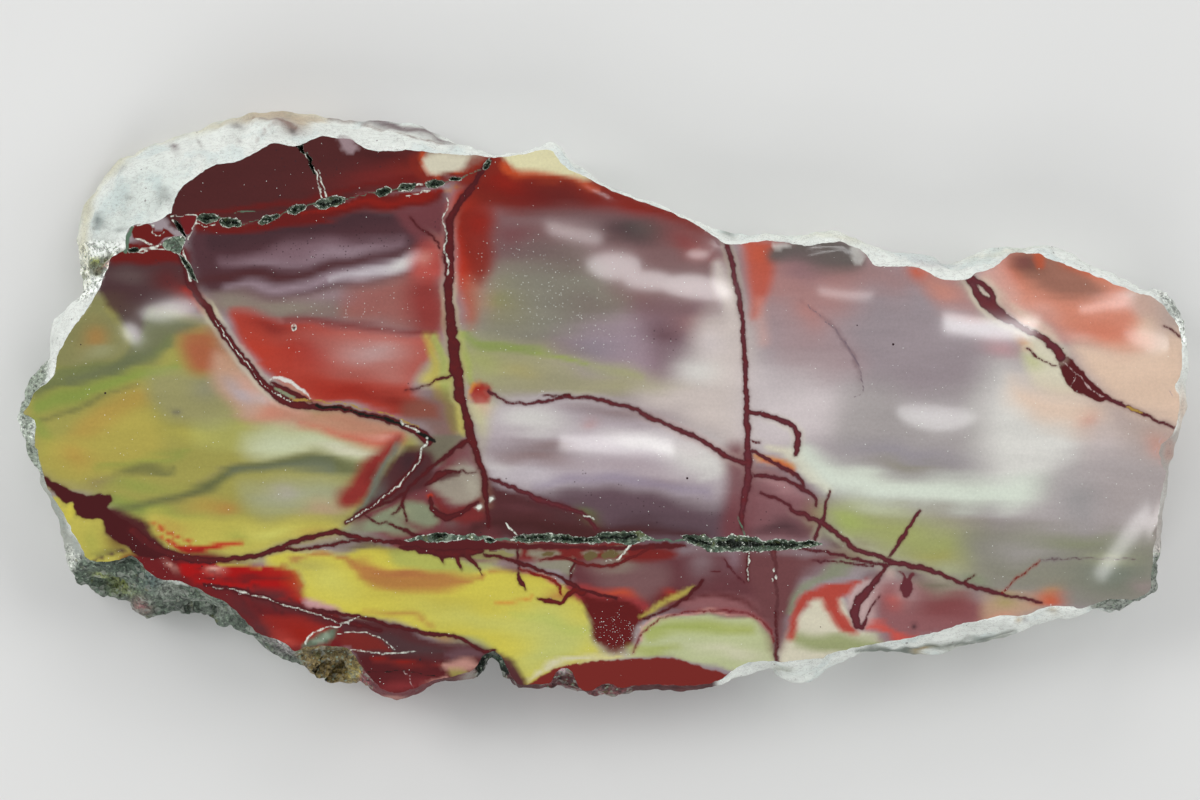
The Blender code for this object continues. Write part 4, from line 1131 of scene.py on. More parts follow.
back_numbers = np.concatenate([side_numbers[-1], first_back + np.arange(len(back_inner))])
face_triangles = facing(face_triangles, face_xyz[:, :2], True)
back_flat = np.vstack([grid[-1, :, :2], back_xyz[:, :2]])
back_triangles = back_numbers[facing(back_triangles, back_flat, False)]
vertices = np.vstack([face_xyz, grid[1:].reshape(-1, 3), back_xyz])

mesh = bpy.data.meshes.new("slab_dressed")
faces = face_triangles.tolist() + side_quads.tolist() + back_triangles.tolist()
mesh.from_pydata(vertices.tolist(), [], faces)
kinds = np.repeat([0, 1, 2], [len(face_triangles), len(side_quads), len(back_triangles)])
mesh.polygons.foreach_set("material_index", kinds.astype(np.int32))
mesh.shade_smooth()
mesh.set_sharp_from_angle(angle=SHARP_ANGLE)
slab = bpy.data.objects.new("slab_dressed", mesh)
bpy.context.scene.collection.objects.link(slab)
triangles = len(face_triangles) + 2 * len(side_quads) + len(back_triangles)
print(f"{len(vertices)} points, {triangles} triangles")

# %% [markdown]
# ## Laying the surface out flat
#
# A stone that leaves Blender takes its colours along as a picture wrapped round it, so every
# part of the surface needs a place of its own on that picture. An automatic unwrap would cut
# the face into pieces. Here the face keeps its own outline over the full width of the picture,
# the outside is peeled off in two long strips below it, and the back lies at half size at the
# bottom.

# %% Places on the flat map
low, wide = vertices.min(axis=0), np.ptp(vertices[:, 0])
straight_down = (vertices[:, :2] - low[:2]) / wide
rows, columns = np.mgrid[0 : len(upper), 0:ring]
second_strip = columns >= ring // 2
strips = np.empty((len(upper), ring, 4, 2))
for corner, (right, down) in enumerate([(1, 0), (0, 0), (0, 1), (1, 1)]):
    first_share = (columns + right) / (ring // 2)
    second_share = (columns + right - ring // 2) / (ring - ring // 2)
    strips[..., corner, 0] = 0.005 + 0.99 * np.where(second_strip, second_share, first_share)
    strips[..., corner, 1] = np.where(second_strip, 0.47, 0.38) - 0.08 * (rows + down) / len(upper)
flat_map = np.vstack([
    (straight_down * 0.99 + (0.005, 0.49))[face_triangles.ravel()],
    strips.reshape(-1, 2),
    (straight_down * 0.55 + (0.005, 0.005))[back_triangles.ravel()],
])
mesh.uv_layers.new(name="OFBake").uv.foreach_set("vector", flat_map.astype(np.float32).ravel())
print(f"flat map from {flat_map.min(axis=0).round(3)} to {flat_map.max(axis=0).round(3)}")

# %% [markdown]
# ## Painting
#
# Painting starts from one canvas that holds every point of the stone with the drawing point it
# is seen at. Areas, clouds and streaks are laid over each other like glazes, each with a soft
# edge, first the broad fields and then what lies in them. The back is painted along, because
# the saw met nearly the same pattern there. Node textures could not do this: nothing about the
# stone says by a rule where lemon ends and oxblood begins.
#
# A line of a painting says which brush it is, the paint, the softness of an area or a streak, and
# the strength unless that is 1. After the colon come an area's outline x, y, a streak's x, y,
# width, or a cloud's x, y, half length, half width and tilt in degrees.


# %% The canvas
def wandering(points):
    """The points moved by broad lumps, and up or down by lumps that are long along the bedding,
    so that drawn edges feather out in streaks as the mud's layers do."""
    broad = np.stack([lumps(points, 34.0, 71), lumps(points, 34.0, 72)], axis=1)
    beds = 1.1 * lumps(points * (0.10, 1.0), 11.0, 73) + 0.6 * lumps(points * (0.12, 1.0), 5.0, 74)
    return ragged(points, 0.2) + 2.0 * broad + np.column_stack([np.zeros(len(points)), beds])


class Canvas:
    """The colours of many points, painted over each other."""

    def __init__(self, points, ground):
        self.points = wandering(points)
        self.colour = np.tile(mixed(ground), (len(points), 1))

    def lay(self, paint, pick, cover):
        self.colour[pick] += (mixed(paint) - self.colour[pick]) * cover[:, None]

    def area(self, paint, numbers, softness, strength=1.0):
        """A closed outline; the edge fades over the softness on both sides of it."""
        outline = np.array(numbers).reshape(-1, 2)
        pick = close_to(self.points, outline, softness + 6.0)
        depth = depth_in_shape(self.points[pick], outline, 10.0)
        self.lay(paint, pick, strength * smoothstep(0.5 + depth / (2.0 * softness)))

    def streak(self, paint, numbers, softness, strength=1.0):
        """A line of x, y, width that fades over the softness on both sides."""
        line = np.array(numbers).reshape(-1, 3)
        pick = close_to(self.points, line, line[:, 2].max() / 2 + softness + 2.0)
        depth = depth_in_stroke(self.points[pick], line, 8.0)
        self.lay(paint, pick, strength * smoothstep(0.5 + depth / (2.0 * softness)))

    def cloud(self, paint, numbers, strength=1.0):
        """A bell-shaped patch: a third of its strength is left at the given half axes."""
        x, y, long, wide, tilt = numbers
        pick = close_to(self.points, np.array([(x, y)]), 1.7 * max(long, wide))
        spot = along_and_across(self.points[pick], x, y, tilt, long, wide)
        self.lay(paint, pick, strength * bell(*spot))

    def paint(self, text):
        """Lays the lines of a painting over what is there already, in their order."""
        brushes = {"area": self.area, "streak": self.streak, "cloud": self.cloud}
        lines = strokes(text)
        for name, settings, numbers in lines:
            brush, paint = name.split(" ", 1)
            brushes[brush](paint, numbers, *settings)
        print(f"{len(lines)} strokes laid")


BACK_SHIFT = (5.0, 4.0)
drawn_points = np.vstack([face_flat, side_drawn[1:].reshape(-1, 2), back_inner + BACK_SHIFT])
canvas = Canvas(drawn_points, "grey mauve")
print(f"a canvas of {len(drawn_points)} points")

# %% [markdown]
# ### The upper part, from the left to the right
#
# A seam of small cavities runs through the dark plum and aubergine of the upper left. The iron
# beside it is oxblood, and where the mud was poor in iron it dried to lilac and grey. Two veins
# stand upright in it, with vermilion and brick red along them, and the top is salmon and cream.

# %% Upper left: the oxblood strip, and the dark plum and aubergine under the seam
canvas.paint("""
area oxblood 2: 170 225 168 190 210 160 258 140 306 128 350 128 372 140 430 143 487 150 492 160 475 174
  430 186 384 194 330 205 268 223 200 225
cloud oxblood red 0.8: 385 176 60 16 -8
cloud brick 0.6: 408 168 20 12 0
cloud dark maroon 0.35: 385 158 34 7 5
cloud oxblood 0.5: 250 180 60 24 -15
area plum 9: 95 262 120 250 185 255 200 285 192 305 160 314 132 330 120 322 104 306
cloud taupe 0.5: 126 277 22 11 0
cloud brick deep 0.5: 168 280 18 14 10
cloud oxblood red 0.9: 184 292 11 13 -30
streak dark plum 4 0.8: 98 290 6 112 307 8 124 326 8 132 342 6
area brick deep 3: 110 250 128 246 160 245 184 246 190 262 168 262 140 263 112 264
area brick deep 5: 192 226 228 222 242 232 224 250 206 264 196 262
area aubergine 9: 182 238 200 230 230 227 300 216 400 204 446 200 446 262 430 275 340 300 250 305 215 300
  198 285
streak dark plum 8 0.5: 212 240 16 250 235 16 300 229 14 360 219 12 410 215 8
streak mauve 7 0.9: 222 262 8 250 260 14 285 256 20 320 250 22 360 246 16 395 241 8
cloud lilac 0.6: 342 253 44 7 -9
cloud lilac 0.35: 268 262 24 4 0
streak oxblood 7 0.75: 190 281 8 225 279 9 262 277 8 300 273 8 335 267 6 372 259 5 412 248 4
streak lilac 8 0.9: 226 291 4 262 289 9 290 286 10 325 280 11 350 276 12 380 269 13 410 258 12
streak pale lilac 5 0.9: 335 281 3 360 275 8 386 269 12 406 261 13 416 256 8
cloud grey white 0.7: 400 263 15 6 -25
area dark rose 6 0.8: 396 205 446 198 446 250 424 247 404 232
streak brick deep 3: 196 228 7 240 229 8 290 220 14 330 211 15 380 202 15 410 198 13 440 194 10
streak crimson 2 0.55: 300 214 3 340 208 5 380 202 6 420 196 7 442 192 6
streak brick deep 2 0.8: 195 214 3 240 214 5 300 200 6 350 190 6 400 180 6 440 174 6 470 168 6
cloud orange 0.8: 455 189 4 3 0
cloud orange 0.6: 448 194 3 2 0
""")

# %% Left of the second vein, below the lilac streak
canvas.paint("""
area grey rose 9: 205 297 262 297 320 294 350 288 380 280 440 270 442 330 380 326 300 322 240 318 216 314
cloud olive grey 0.6: 285 309 56 8 2
cloud olive grey 0.5: 228 304 20 8 10
cloud lilac 0.4: 335 300 34 7 -3
area dark salmon 12 0.7: 356 290 380 284 414 276 412 318 380 322 344 316
area crimson dusk 17 0.9: 410 280 441 270 448 334 418 336 408 318
area rosy red 11 0.7: 412 250 441 243 446 272 414 276
cloud pink 0.4: 424 256 10 6 -20
area coral brick 6: 230 313 262 316 300 322 340 327 380 332 414 336 440 340 430 360 414 382 430 400 440 416
  400 414 340 403 308 402 284 388 258 364 240 336
cloud oxblood red 0.75: 268 325 24 6 8
cloud vermilion 0.5: 258 346 16 24 -25
cloud crimson brick 0.8: 312 350 34 18 8
cloud dark salmon 0.5: 320 338 50 9 4
cloud rosy: 375 352 50 22 4
cloud pale rose 0.6: 370 352 24 10 0
cloud dark salmon 0.6: 350 374 30 8 4
cloud rosy 0.5: 395 374 26 9 10
cloud crimson 0.7: 345 392 46 9 6
cloud oxblood red 0.5: 390 398 34 7 8
streak oxblood red 4 0.75: 284 318 4 330 324 7 380 329 7 436 334 7
streak yellow olive 6 0.85: 426 338 4 434 356 10 438 376 14 444 392 12 450 410 8 456 430 6
cloud yellow 0.7: 429 378 8 7 0
""")

# %% Around the second vein
canvas.paint("""
area vermilion 8: 452 200 464 190 484 196 490 225 488 262 482 292 476 326 462 328 458 280 454 240
cloud scarlet 0.35: 468 235 12 34 0
cloud crimson 0.6: 476 228 14 14 0
""")

# %% The top: cream patches with orange fringes, then brick red
canvas.paint("""
area brick 14: 455 165 500 150 572 160 630 188 700 220 716 240 700 246 640 222 580 212 520 214 480 216
  462 200
cloud brick deep 0.8: 540 196 80 14 10
cloud oxblood 0.4: 560 194 30 10 10
cloud crimson 0.45: 650 222 46 12 24
streak brick 4 0.7: 590 184 9 640 204 9 700 232 9
cloud crimson 0.5: 500 178 30 14 20
streak orange red 4 0.8: 494 156 12 508 169 9 540 177 8 572 179 7 596 186 3
area cream yellow 3: 498 140 560 135 584 165 592 176 576 180 556 179 533 174 513 167 502 156
area brick 4 0.85: 416 150 494 150 490 166 440 184 424 182 410 165
streak orange red 3 0.8: 424 150 7 430 168 6 440 178 5
streak orange red 3 0.7: 486 152 6 478 164 5 456 174 4
area cream 3: 429 148 482 150 474 163 439 177 430 168
area brick 4 0.85: 470 150 500 152 492 172 470 184 456 184 462 172
""")

# %% Between the second and the third vein
canvas.paint("""
area mauve brown 17: 480 222 520 212 590 215 640 222 726 250 728 320 690 340 640 330 590 322 540 320 500 300
  484 262
cloud dark rose 0.6: 512 230 22 12 10
area grey green 22 0.95: 480 280 520 258 580 262 622 300 618 345 580 362 520 360 470 345
cloud olive 0.55: 500 305 28 24 20
cloud leaf green 0.3: 492 300 14 8 -20
cloud taupe 0.55: 548 252 48 14 10
cloud dark plum 0.8: 628 232 36 14 4
cloud dark grey green 0.5: 640 232 22 9 6
cloud crimson dusk 0.6: 690 246 34 10 20
cloud oxblood 0.4: 560 212 60 9 6
cloud taupe 0.35: 585 318 40 16 20
cloud dark mauve 0.4: 532 262 40 16 15
cloud dark mauve 0.35: 596 303 30 14 15
area brick 9 0.85: 460 212 486 214 494 240 490 268 480 284 466 262 458 232
cloud crimson 0.6: 480 226 12 13 0
cloud rosy 0.35: 482 300 14 18 0
area lilac 20: 548 345 590 325 640 322 660 345 650 380 600 385 560 380
cloud blue grey 0.6: 590 350 36 18 -8
area mauve 20 0.8: 640 316 700 304 728 312 712 330 694 345 684 375 655 382 644 350
cloud dark mauve 0.8: 662 335 17 10 10
cloud dusty rose 0.4: 690 322 20 12 0
area yellow green grey 13 0.9: 462 340 500 340 560 352 640 376 700 385 690 396 600 394 540 396 480 392
  462 372
cloud yellow green 0.5: 480 358 24 16 20
cloud grey mauve 0.7: 592 368 34 10 8
cloud olive grey 0.4: 545 380 40 9 4
cloud mustard 0.3: 520 372 22 9 15
cloud taupe 0.35: 560 345 50 14 12
streak leaf green 3 0.75: 456 337 3 480 341 6 502 344 6 543 354 5 584 366 3
streak yellow green 4 0.4: 540 354 5 590 366 7 640 378 5
streak yellow green 3 0.9: 436 340 8 444 358 10 446 380 12 448 400 10 454 425 8
streak mustard 3 0.5: 430 352 6 436 375 6 438 395 6
streak yellow green 3 0.8: 462 340 6 465 362 8 468 384 6
area beige white 24: 700 326 745 316 750 400 744 450 700 430 650 410 640 398 690 372
cloud white lilac 0.6: 712 345 18 14 0
cloud grey white 0.75: 696 370 24 13 10
streak beige white 6 0.95: 720 262 6 725 282 13 729 303 15 734 325 8
""")

# %% Right of the third vein
# The broad grey white field at the right and the soft white lilac field left of it are partly the jasper's
# colour and partly a painted soft glow of reflected light.
canvas.paint("""
area dusty rose 20 0.9: 748 240 800 236 880 262 910 285 880 310 800 318 760 300
area brick orange red 7 0.85: 742 236 770 238 776 248 772 268 766 290 760 312 750 318 745 284
cloud orange red 0.4: 758 256 14 18 0
area dark grey green 7 0.95: 768 250 786 243 815 241 848 242 862 253 866 263 850 266 820 263 790 262 768 262
area grey white 1.5 0.6: 770 241 786 242 791 246 784 250 778 252 774 250
area grey white 1.5 0.6: 851 246 858 248 866 257 861 263 855 260 852 254
cloud taupe 0.6: 830 262 40 10 8
cloud mauve 0.5: 800 270 26 12 10
area lilac grey 31: 862 290 920 300 985 322 1020 360 985 400 900 400 850 370
area rosy grey 22 0.9: 770 306 815 312 850 345 860 372 820 384 775 360
cloud dusty rose 0.5: 806 320 20 16 30
streak dark mauve 3 0.6: 800 302 1 824 321 2 841 343 3 855 363 3 861 380 3 860 394 2
streak pink 9 0.4: 756 300 8 760 320 12 762 340 10
cloud rosy 0.5: 806 312 14 10 40
area white lilac 32 0.9: 746 376 800 372 850 390 852 430 800 450 752 440
area mid grey 22 0.85: 856 384 920 400 985 395 996 450 960 480 880 472 826 450
cloud blue grey 0.6: 905 455 70 12 8
area grey white 32: 996 372 1040 380 1085 400 1086 500 1020 510 985 480 982 420
streak pale green grey 8 0.9: 796 452 6 830 472 12 900 486 16 980 496 20
area dusty rose 10 0.7: 905 262 940 262 975 284 1000 312 960 314 925 296
cloud orange red 0.75: 919 273 13 8 20
cloud salmon 0.6: 944 290 22 12 25
streak stone 7 0.5: 958 274 4 970 294 6 984 310 6 1004 328 6 1030 346 4
""")

# %% The salmon corner
canvas.paint("""
area salmon 14: 1004 252 1060 250 1100 265 1150 288 1158 350 1120 362 1062 330 1010 300
cloud dark mauve 0.5: 970 281 9 5 30
cloud grey white 0.7: 984 292 6 9 -35
area pink 8 0.75: 978 276 1003 262 1016 290 1040 318 1060 338 1040 338 1008 312 985 292
streak cream 6 0.5: 986 282 4 1004 300 6 1030 318 7 1052 334 7
cloud orange red 0.25: 1100 330 46 18 12
cloud orange red 0.45: 1012 268 14 14 20
cloud pink 0.6: 1042 308 18 8 30
cloud pink mauve 0.7: 1004 350 20 10 20
cloud dusty rose 0.6: 1003 304 10 5 40
area umber 8 0.75: 1006 256 1044 252 1074 262 1104 292 1100 300 1064 298 1034 288 1012 272
cloud brown rose 0.8: 1028 265 18 9 25
cloud dark rose 0.5: 1020 262 12 6 10
cloud orange red 0.8: 1086 268 24 7 22
area orange red 3 0.6: 1030 254 1044 252 1046 264 1036 270
area warm grey 8 0.8: 1120 300 1150 285 1185 295 1185 345 1160 345 1142 322
cloud pink 0.7: 1114 304 18 8 10
cloud pink 0.6: 1074 333 18 7 20
cloud peach 0.7: 1146 330 14 14 0
area peach 16: 1072 344 1120 352 1185 340 1185 425 1150 420 1108 396 1080 366
area cream 8: 1026 340 1058 342 1070 372 1084 392 1060 396 1030 376
cloud yellow green 0.5: 1034 362 14 8 30
cloud orange 0.5: 1024 344 10 5 30
area peach 17 0.85: 1010 384 1060 392 1104 402 1110 430 1060 428 1020 410
cloud salmon 0.6: 1088 420 12 9 0
area warm grey 25 0.8: 1100 412 1180 432 1170 520 1110 520 1090 470
cloud white lilac 0.6: 1105 450 26 30 0
cloud salmon 0.55: 1156 447 12 12 0
""")

# %% Frosted chip at the rim, upper left
canvas.paint("""
area frosted mauve 1.5: 337 137 348 136 357 141 359 150 350 154 342 150
""")

# %% [markdown]
# ### The left end and the lower left
#
# Yellow iron stained these beds, so olive, mustard and lemon follow each other in slanting
# streaks, cut off sharply by the dark first vein. Below the vein lies the most vivid red of the
# stone. Streaks do the most here, because the beds are long and thin.

# %% The left end: olive green, mustard and orange in slanting streaks
canvas.paint("""
area mustard olive 14: 20 350 100 300 140 318 200 322 262 400 330 412 420 440 400 480 340 530 200 560
  150 545 100 500 40 478 20 420
area moss dark 9 0.9: 124 310 180 316 198 326 182 338 160 354 132 372 110 372 124 342
area plum 4 0.9: 98 284 126 288 160 294 154 304 148 314 142 326 136 338 128 330 121 318 112 307 102 299
area olive lobe 5: 40 362 60 335 72 312 96 297 108 306 120 324 126 344 118 360 90 364 60 364
cloud terracotta 0.6: 94 335 15 11 -50
cloud pale olive 0.4: 100 352 16 8 -20
streak moss 5 0.9: 38 388 18 60 378 24 90 373 20 119 368 14 149 357 10 172 342 8
streak moss dark 4 0.6: 70 380 5 100 372 7 130 364 8 150 354 7
streak leaf green 5 0.85: 40 404 12 70 396 12 95 388 12 140 377 10 176 364 8
streak dark olive 3 0.6: 40 418 4 64 410 5 89 401 5 120 392 4 140 387 2
streak leaf green 6 0.6: 34 420 12 44 436 14 46 452 8
area ochre orange 10 0.75: 66 436 84 414 110 401 140 390 150 397 142 412 112 428 84 440
cloud yellow green 0.4: 165 372 20 12 -20
area sage olive 12 0.85: 150 376 186 368 226 388 244 414 214 430 172 420 152 400
cloud grey green 0.5: 206 392 16 12 20
area mustard 12 0.8: 40 440 80 436 140 410 160 430 158 458 130 470 80 480 46 472
cloud ochre orange 0.8: 76 458 17 12 20
cloud dark grey green 0.7: 173 410 5 3.5 20
cloud yellow olive 0.5: 190 438 30 8 5
streak leaf green 4 0.5: 96 468 4 130 462 8 160 457 6 190 452 3
streak dark olive 3 0.7: 112 472 3 132 468 7 152 465 7 172 463 3
cloud mauve brown 0.45: 104 482 15 6 -5
streak leaf green 6 0.7: 98 500 8 130 508 14 160 514 12 200 520 8
cloud leaf green 0.5: 140 486 34 9 8
""")

# %% Left, under the first vein: salmon, then cream, then the dark olive streak
canvas.paint("""
area brick orange 12 0.95: 186 338 204 334 220 342 230 360 232 374 216 376 196 368 186 354
area salmon grey 9 0.9: 214 352 236 364 262 392 300 412 300 426 262 424 232 410 214 388
cloud pink 0.5: 246 386 15 9 45
cloud lilac light 0.8: 240 396 20 9 35
cloud pale lilac 0.5: 262 400 14 6 30
streak pink 3 0.6: 262 398 3 285 408 5 310 414 5
streak crimson 4 0.85: 188 290 10 202 306 10 212 318 6
area salmon brown 8 0.9: 266 404 300 411 340 413 380 420 408 434 400 442 350 438 310 430 270 422
cloud salmon 0.5: 268 414 16 8 10
area pale olive yellow 10 0.35: 190 424 240 420 262 434 240 448 196 446
area pale green 17: 250 438 276 429 310 430 350 440 392 447 392 458 350 462 310 456 272 456 252 450
cloud cream 0.7: 350 452 34 5 6
area rosy red 8 0.85: 300 424 336 431 370 434 402 434 404 442 392 449 370 446 340 440
cloud pink 0.5: 384 437 18 3 4
streak olive 4 0.6: 196 482 4 230 470 5 262 463 6 300 458 6 335 457 4
streak dark olive 6 0.95: 119 512 4 155 505 7 182 497 10 208 488 12 232 477 12 262 466 12 290 463 14
  330 465 14 360 467 7
streak dark sage 5 0.5: 232 478 4 262 469 6 290 466 8 330 467 8
area pale olive 18: 246 494 270 486 300 481 350 480 346 496 330 510 290 512 256 508
cloud lilac light 0.4: 284 493 18 8 0
cloud ochre orange 0.7: 208 508 26 8 0
cloud terracotta 0.6: 226 510 13 6 0
cloud peach grey 0.7: 325 509 26 9 -10
area crimson dusk 7: 405 437 398 450 386 465 374 485 360 499 344 504 335 499 337 488 350 476 362 462 374 450
  388 442
cloud brick deep 0.5: 372 474 10 8 -50
""")

# %% Yellow under it, with red streaks
canvas.paint("""
area yellow olive 8 0.9: 150 516 200 518 260 521 330 520 345 530 290 545 220 558 176 552 150 536
cloud lemon 0.7: 272 532 26 7 0
cloud leaf green 0.35: 236 537 14 6 0
cloud ochre orange 0.6: 172 528 16 8 20
cloud ochre orange 0.5: 312 534 20 6 -5
streak vermilion 1.5 0.9: 152 528 2 164 531 3 178 539 3 192 545 2
streak vermilion 1.5: 158 536 2 170 544 4 184 550 5 206 551 5 224 546 4 243 541 2
streak scarlet 1.2 0.8: 176 548 2 196 552 3 220 549 2
area oxblood 4: 100 510 140 520 165 548 190 562 180 580 150 572 136 552 104 530
area yellow olive 3: 50 496 66 500 88 508 104 512 110 532 130 546 140 562 80 570 56 540
area yellow 2 0.9: 62 518 64 508 72 502 74 509 70 518 66 522
cloud dark olive 0.6: 108 552 20 4 0
cloud maroon 0.8: 124 540 16 14 30
cloud leaf green 0.3: 92 540 12 12 0
streak plum 1.5 0.9: 82 561 2 104 557 3 128 553 3
""")

# %% The vivid red corner below the first vein
canvas.paint("""
area maroon red 5: 120 566 150 552 250 560 330 596 345 640 320 665 280 660 220 625 180 605 130 590
area scarlet 3: 180 562 212 562 240 560 270 562 292 572 306 584 300 592 322 602 318 608 280 600 240 592
  205 588 182 574
streak yellow olive 2 0.8: 222 562 4 240 561 6 256 564 3
cloud pink 0.95: 218 572 8 4.5 -15
cloud pink 0.7: 171 566 7 3 40
streak maroon 1.5 0.8: 186 578 2 215 582 3 240 580 3 262 586 2
streak maroon 1.5 0.7: 196 570 1 225 578 2 262 574 2 290 580 1
streak maroon 1.5 0.8: 255 592 2 285 596 3 305 604 2
streak maroon 1.5 0.9: 246 592 2 252 604 3 262 614 2
streak maroon 1.5 0.9: 272 598 2 278 610 2.5 290 622 2
streak maroon 1.5 0.8: 226 590 2 236 600 3 250 620 2
area crimson brick 4 0.7: 260 620 290 622 322 624 330 636 312 646 290 644 268 634
cloud maroon dusk 0.6: 240 610 24 8 30
cloud plum 0.6: 262 598 18 7 12
cloud scarlet 0.5: 278 584 18 7 10
cloud maroon dusk 0.85: 272 594 22 7 8
cloud brick orange 0.8: 306 591 10 5 20
cloud maroon dusk 0.85: 304 613 30 7 14
cloud plum 0.6: 260 632 16 8 20
cloud crimson 0.8: 306 637 18 7 10
cloud rosy red 0.6: 290 642 14 5 20
area pink mauve 3: 304 598 322 593 345 600 356 606 345 611 322 610 308 608
""")

# %% The big lemon field
canvas.paint("""
area yellow 4: 262 556 340 552 400 548 470 560 520 572 560 586 582 590 588 610 590 636 600 650 620 660
  560 672 530 690 500 660 480 646 430 630 350 612 320 600 304 592 306 582 286 570
cloud lemon 0.7: 545 624 60 24 10
cloud mustard 0.4: 420 598 70 10 8
cloud pale olive yellow 0.8: 545 655 44 14 -30
cloud lemon 0.6: 330 580 30 16 20
cloud pale olive yellow 0.45: 470 618 60 10 8
cloud yellow 0.5: 500 604 50 12 6
cloud pale olive yellow 0.7: 556 632 40 24 20
streak leaf bright 5 0.35: 512 610 5 550 620 10 586 628 8
streak yellow green 6 0.5: 440 632 6 480 648 12 510 672 12
area yellow green 5 0.75: 392 548 440 553 500 560 470 572 430 571 396 562
area terracotta 5: 352 560 392 566 440 572 478 576 462 584 432 592 404 592 376 586 354 570
cloud brick orange 0.5: 405 572 40 4 6
streak terracotta 1.5 0.9: 272 566 2 296 560 3 320 554 3 346 558 4 362 568 4
streak terracotta 2 0.8: 430 575 3 470 580 4 496 573 4 520 569 4
streak terracotta 2.5 0.7: 366 609 3 390 614 5 418 617 4 436 622 2
streak rosy red 2 0.7: 522 572 3 540 579 3 556 585 3
streak orange 1.5 0.9: 494 599 2 512 596 3 534 595 2
streak cream 3 0.8: 528 680 3 546 668 5 566 660 6 590 657 5 612 655 3
cloud brown olive 0.9: 366 546 38 7 2
cloud olive 0.45: 306 566 28 7 0
cloud brown rose 0.85: 518 568 20 7 10
cloud terracotta 0.85: 560 598 13 6 0
cloud terracotta 0.6: 446 636 12 4 20
cloud pale olive 0.3: 486 566 14 6 0
""")

# %% Red and mauve shapes over the pocket, left of the notch
canvas.paint("""
area maroon dusk 4: 340 616 380 620 430 634 468 646 500 656 530 690 500 700 400 705 350 660
area plum 3: 372 636 410 638 446 646 436 652 396 652 380 650
area dark mauve 3 0.8: 446 648 470 650 486 656 466 660 446 656
area lens red 2: 336 638 350 633 374 637 390 646 392 653 366 650 338 648
area maroon 4: 352 656 400 658 450 660 486 662 480 672 440 684 410 697 380 694 360 676
area pink 3 0.6: 440 662 462 660 478 666 472 672 452 672
area mustard olive 2 0.7: 450 668 466 672 470 676 452 678
streak oxblood red 2 0.8: 372 664 6 410 668 8 440 662 5
cloud rosy dark 0.6: 400 684 34 5 -8
streak crimson 1.5 0.7: 366 660 2 390 663 3 416 664 2
streak maroon 1.5 0.8: 362 668 2 396 676 2 420 668 2 448 656 2
streak pink 2 0.6: 420 684 4 446 678 5
area quartz 2 0.9: 304 650 311 638 322 631 334 628 332 636 322 646
area pale quartz 1.5 0.7: 311 643 318 636 328 631 326 638 318 644
""")

# %% [markdown]
# ### The middle and the lower right
#
# The long seam of quartz runs level through the middle. Above it the paint is nearly white, partly
# the jasper's own colour and partly a painted soft reflection in the polish, with a purple and
# maroon under-side. Below it there are red swirls in pale green bays, and the right end fades to
# yellow green and grey.

# %% Around the second vein's lower end
canvas.paint("""
area brown rose 9 0.75: 404 398 440 390 454 402 460 438 440 442 424 426 404 416
cloud brick 0.7: 396 400 16 10 0
streak yellow olive 2.5 0.8: 455 398 6 460 420 8 464 438 6
area grey olive dark 5: 426 438 464 436 460 452 440 466 424 458
area dark rose 4: 386 500 420 480 440 462 470 442 484 462 490 500 500 542 396 542 360 536 350 524
area maroon dusk 5: 388 470 404 452 424 448 434 458 428 482 404 496 384 500 372 508 352 520 364 496
cloud dark plum 0.7: 410 464 16 14 -40
area dark sage 3 0.9: 402 442 390 464 376 486 362 504 352 514 366 490 382 464 394 446
cloud dark grey green 0.7: 380 488 10 6 -50
area pale taupe 5: 446 468 462 460 474 462 482 476 482 490 470 502 450 506 434 496 426 486 436 476
cloud stone 0.5: 468 484 9 11 -20
streak maroon dusk 3 0.9: 436 480 6 444 474 8 456 472 3
area sage 4: 388 506 410 500 428 506 434 520 420 530 396 536 362 534 370 520
area sage 5 0.7: 340 526 368 522 380 530 372 538 340 536
cloud pale olive 0.5: 402 512 10 5 0
cloud dark rose 0.8: 416 526 16 5 20
area oxblood red 3 0.8: 428 494 434 500 446 512 464 506 482 494 488 520 470 524 446 524 432 510
cloud oxblood 0.7: 464 532 34 8 0
cloud taupe 0.6: 446 524 10 5 0
""")

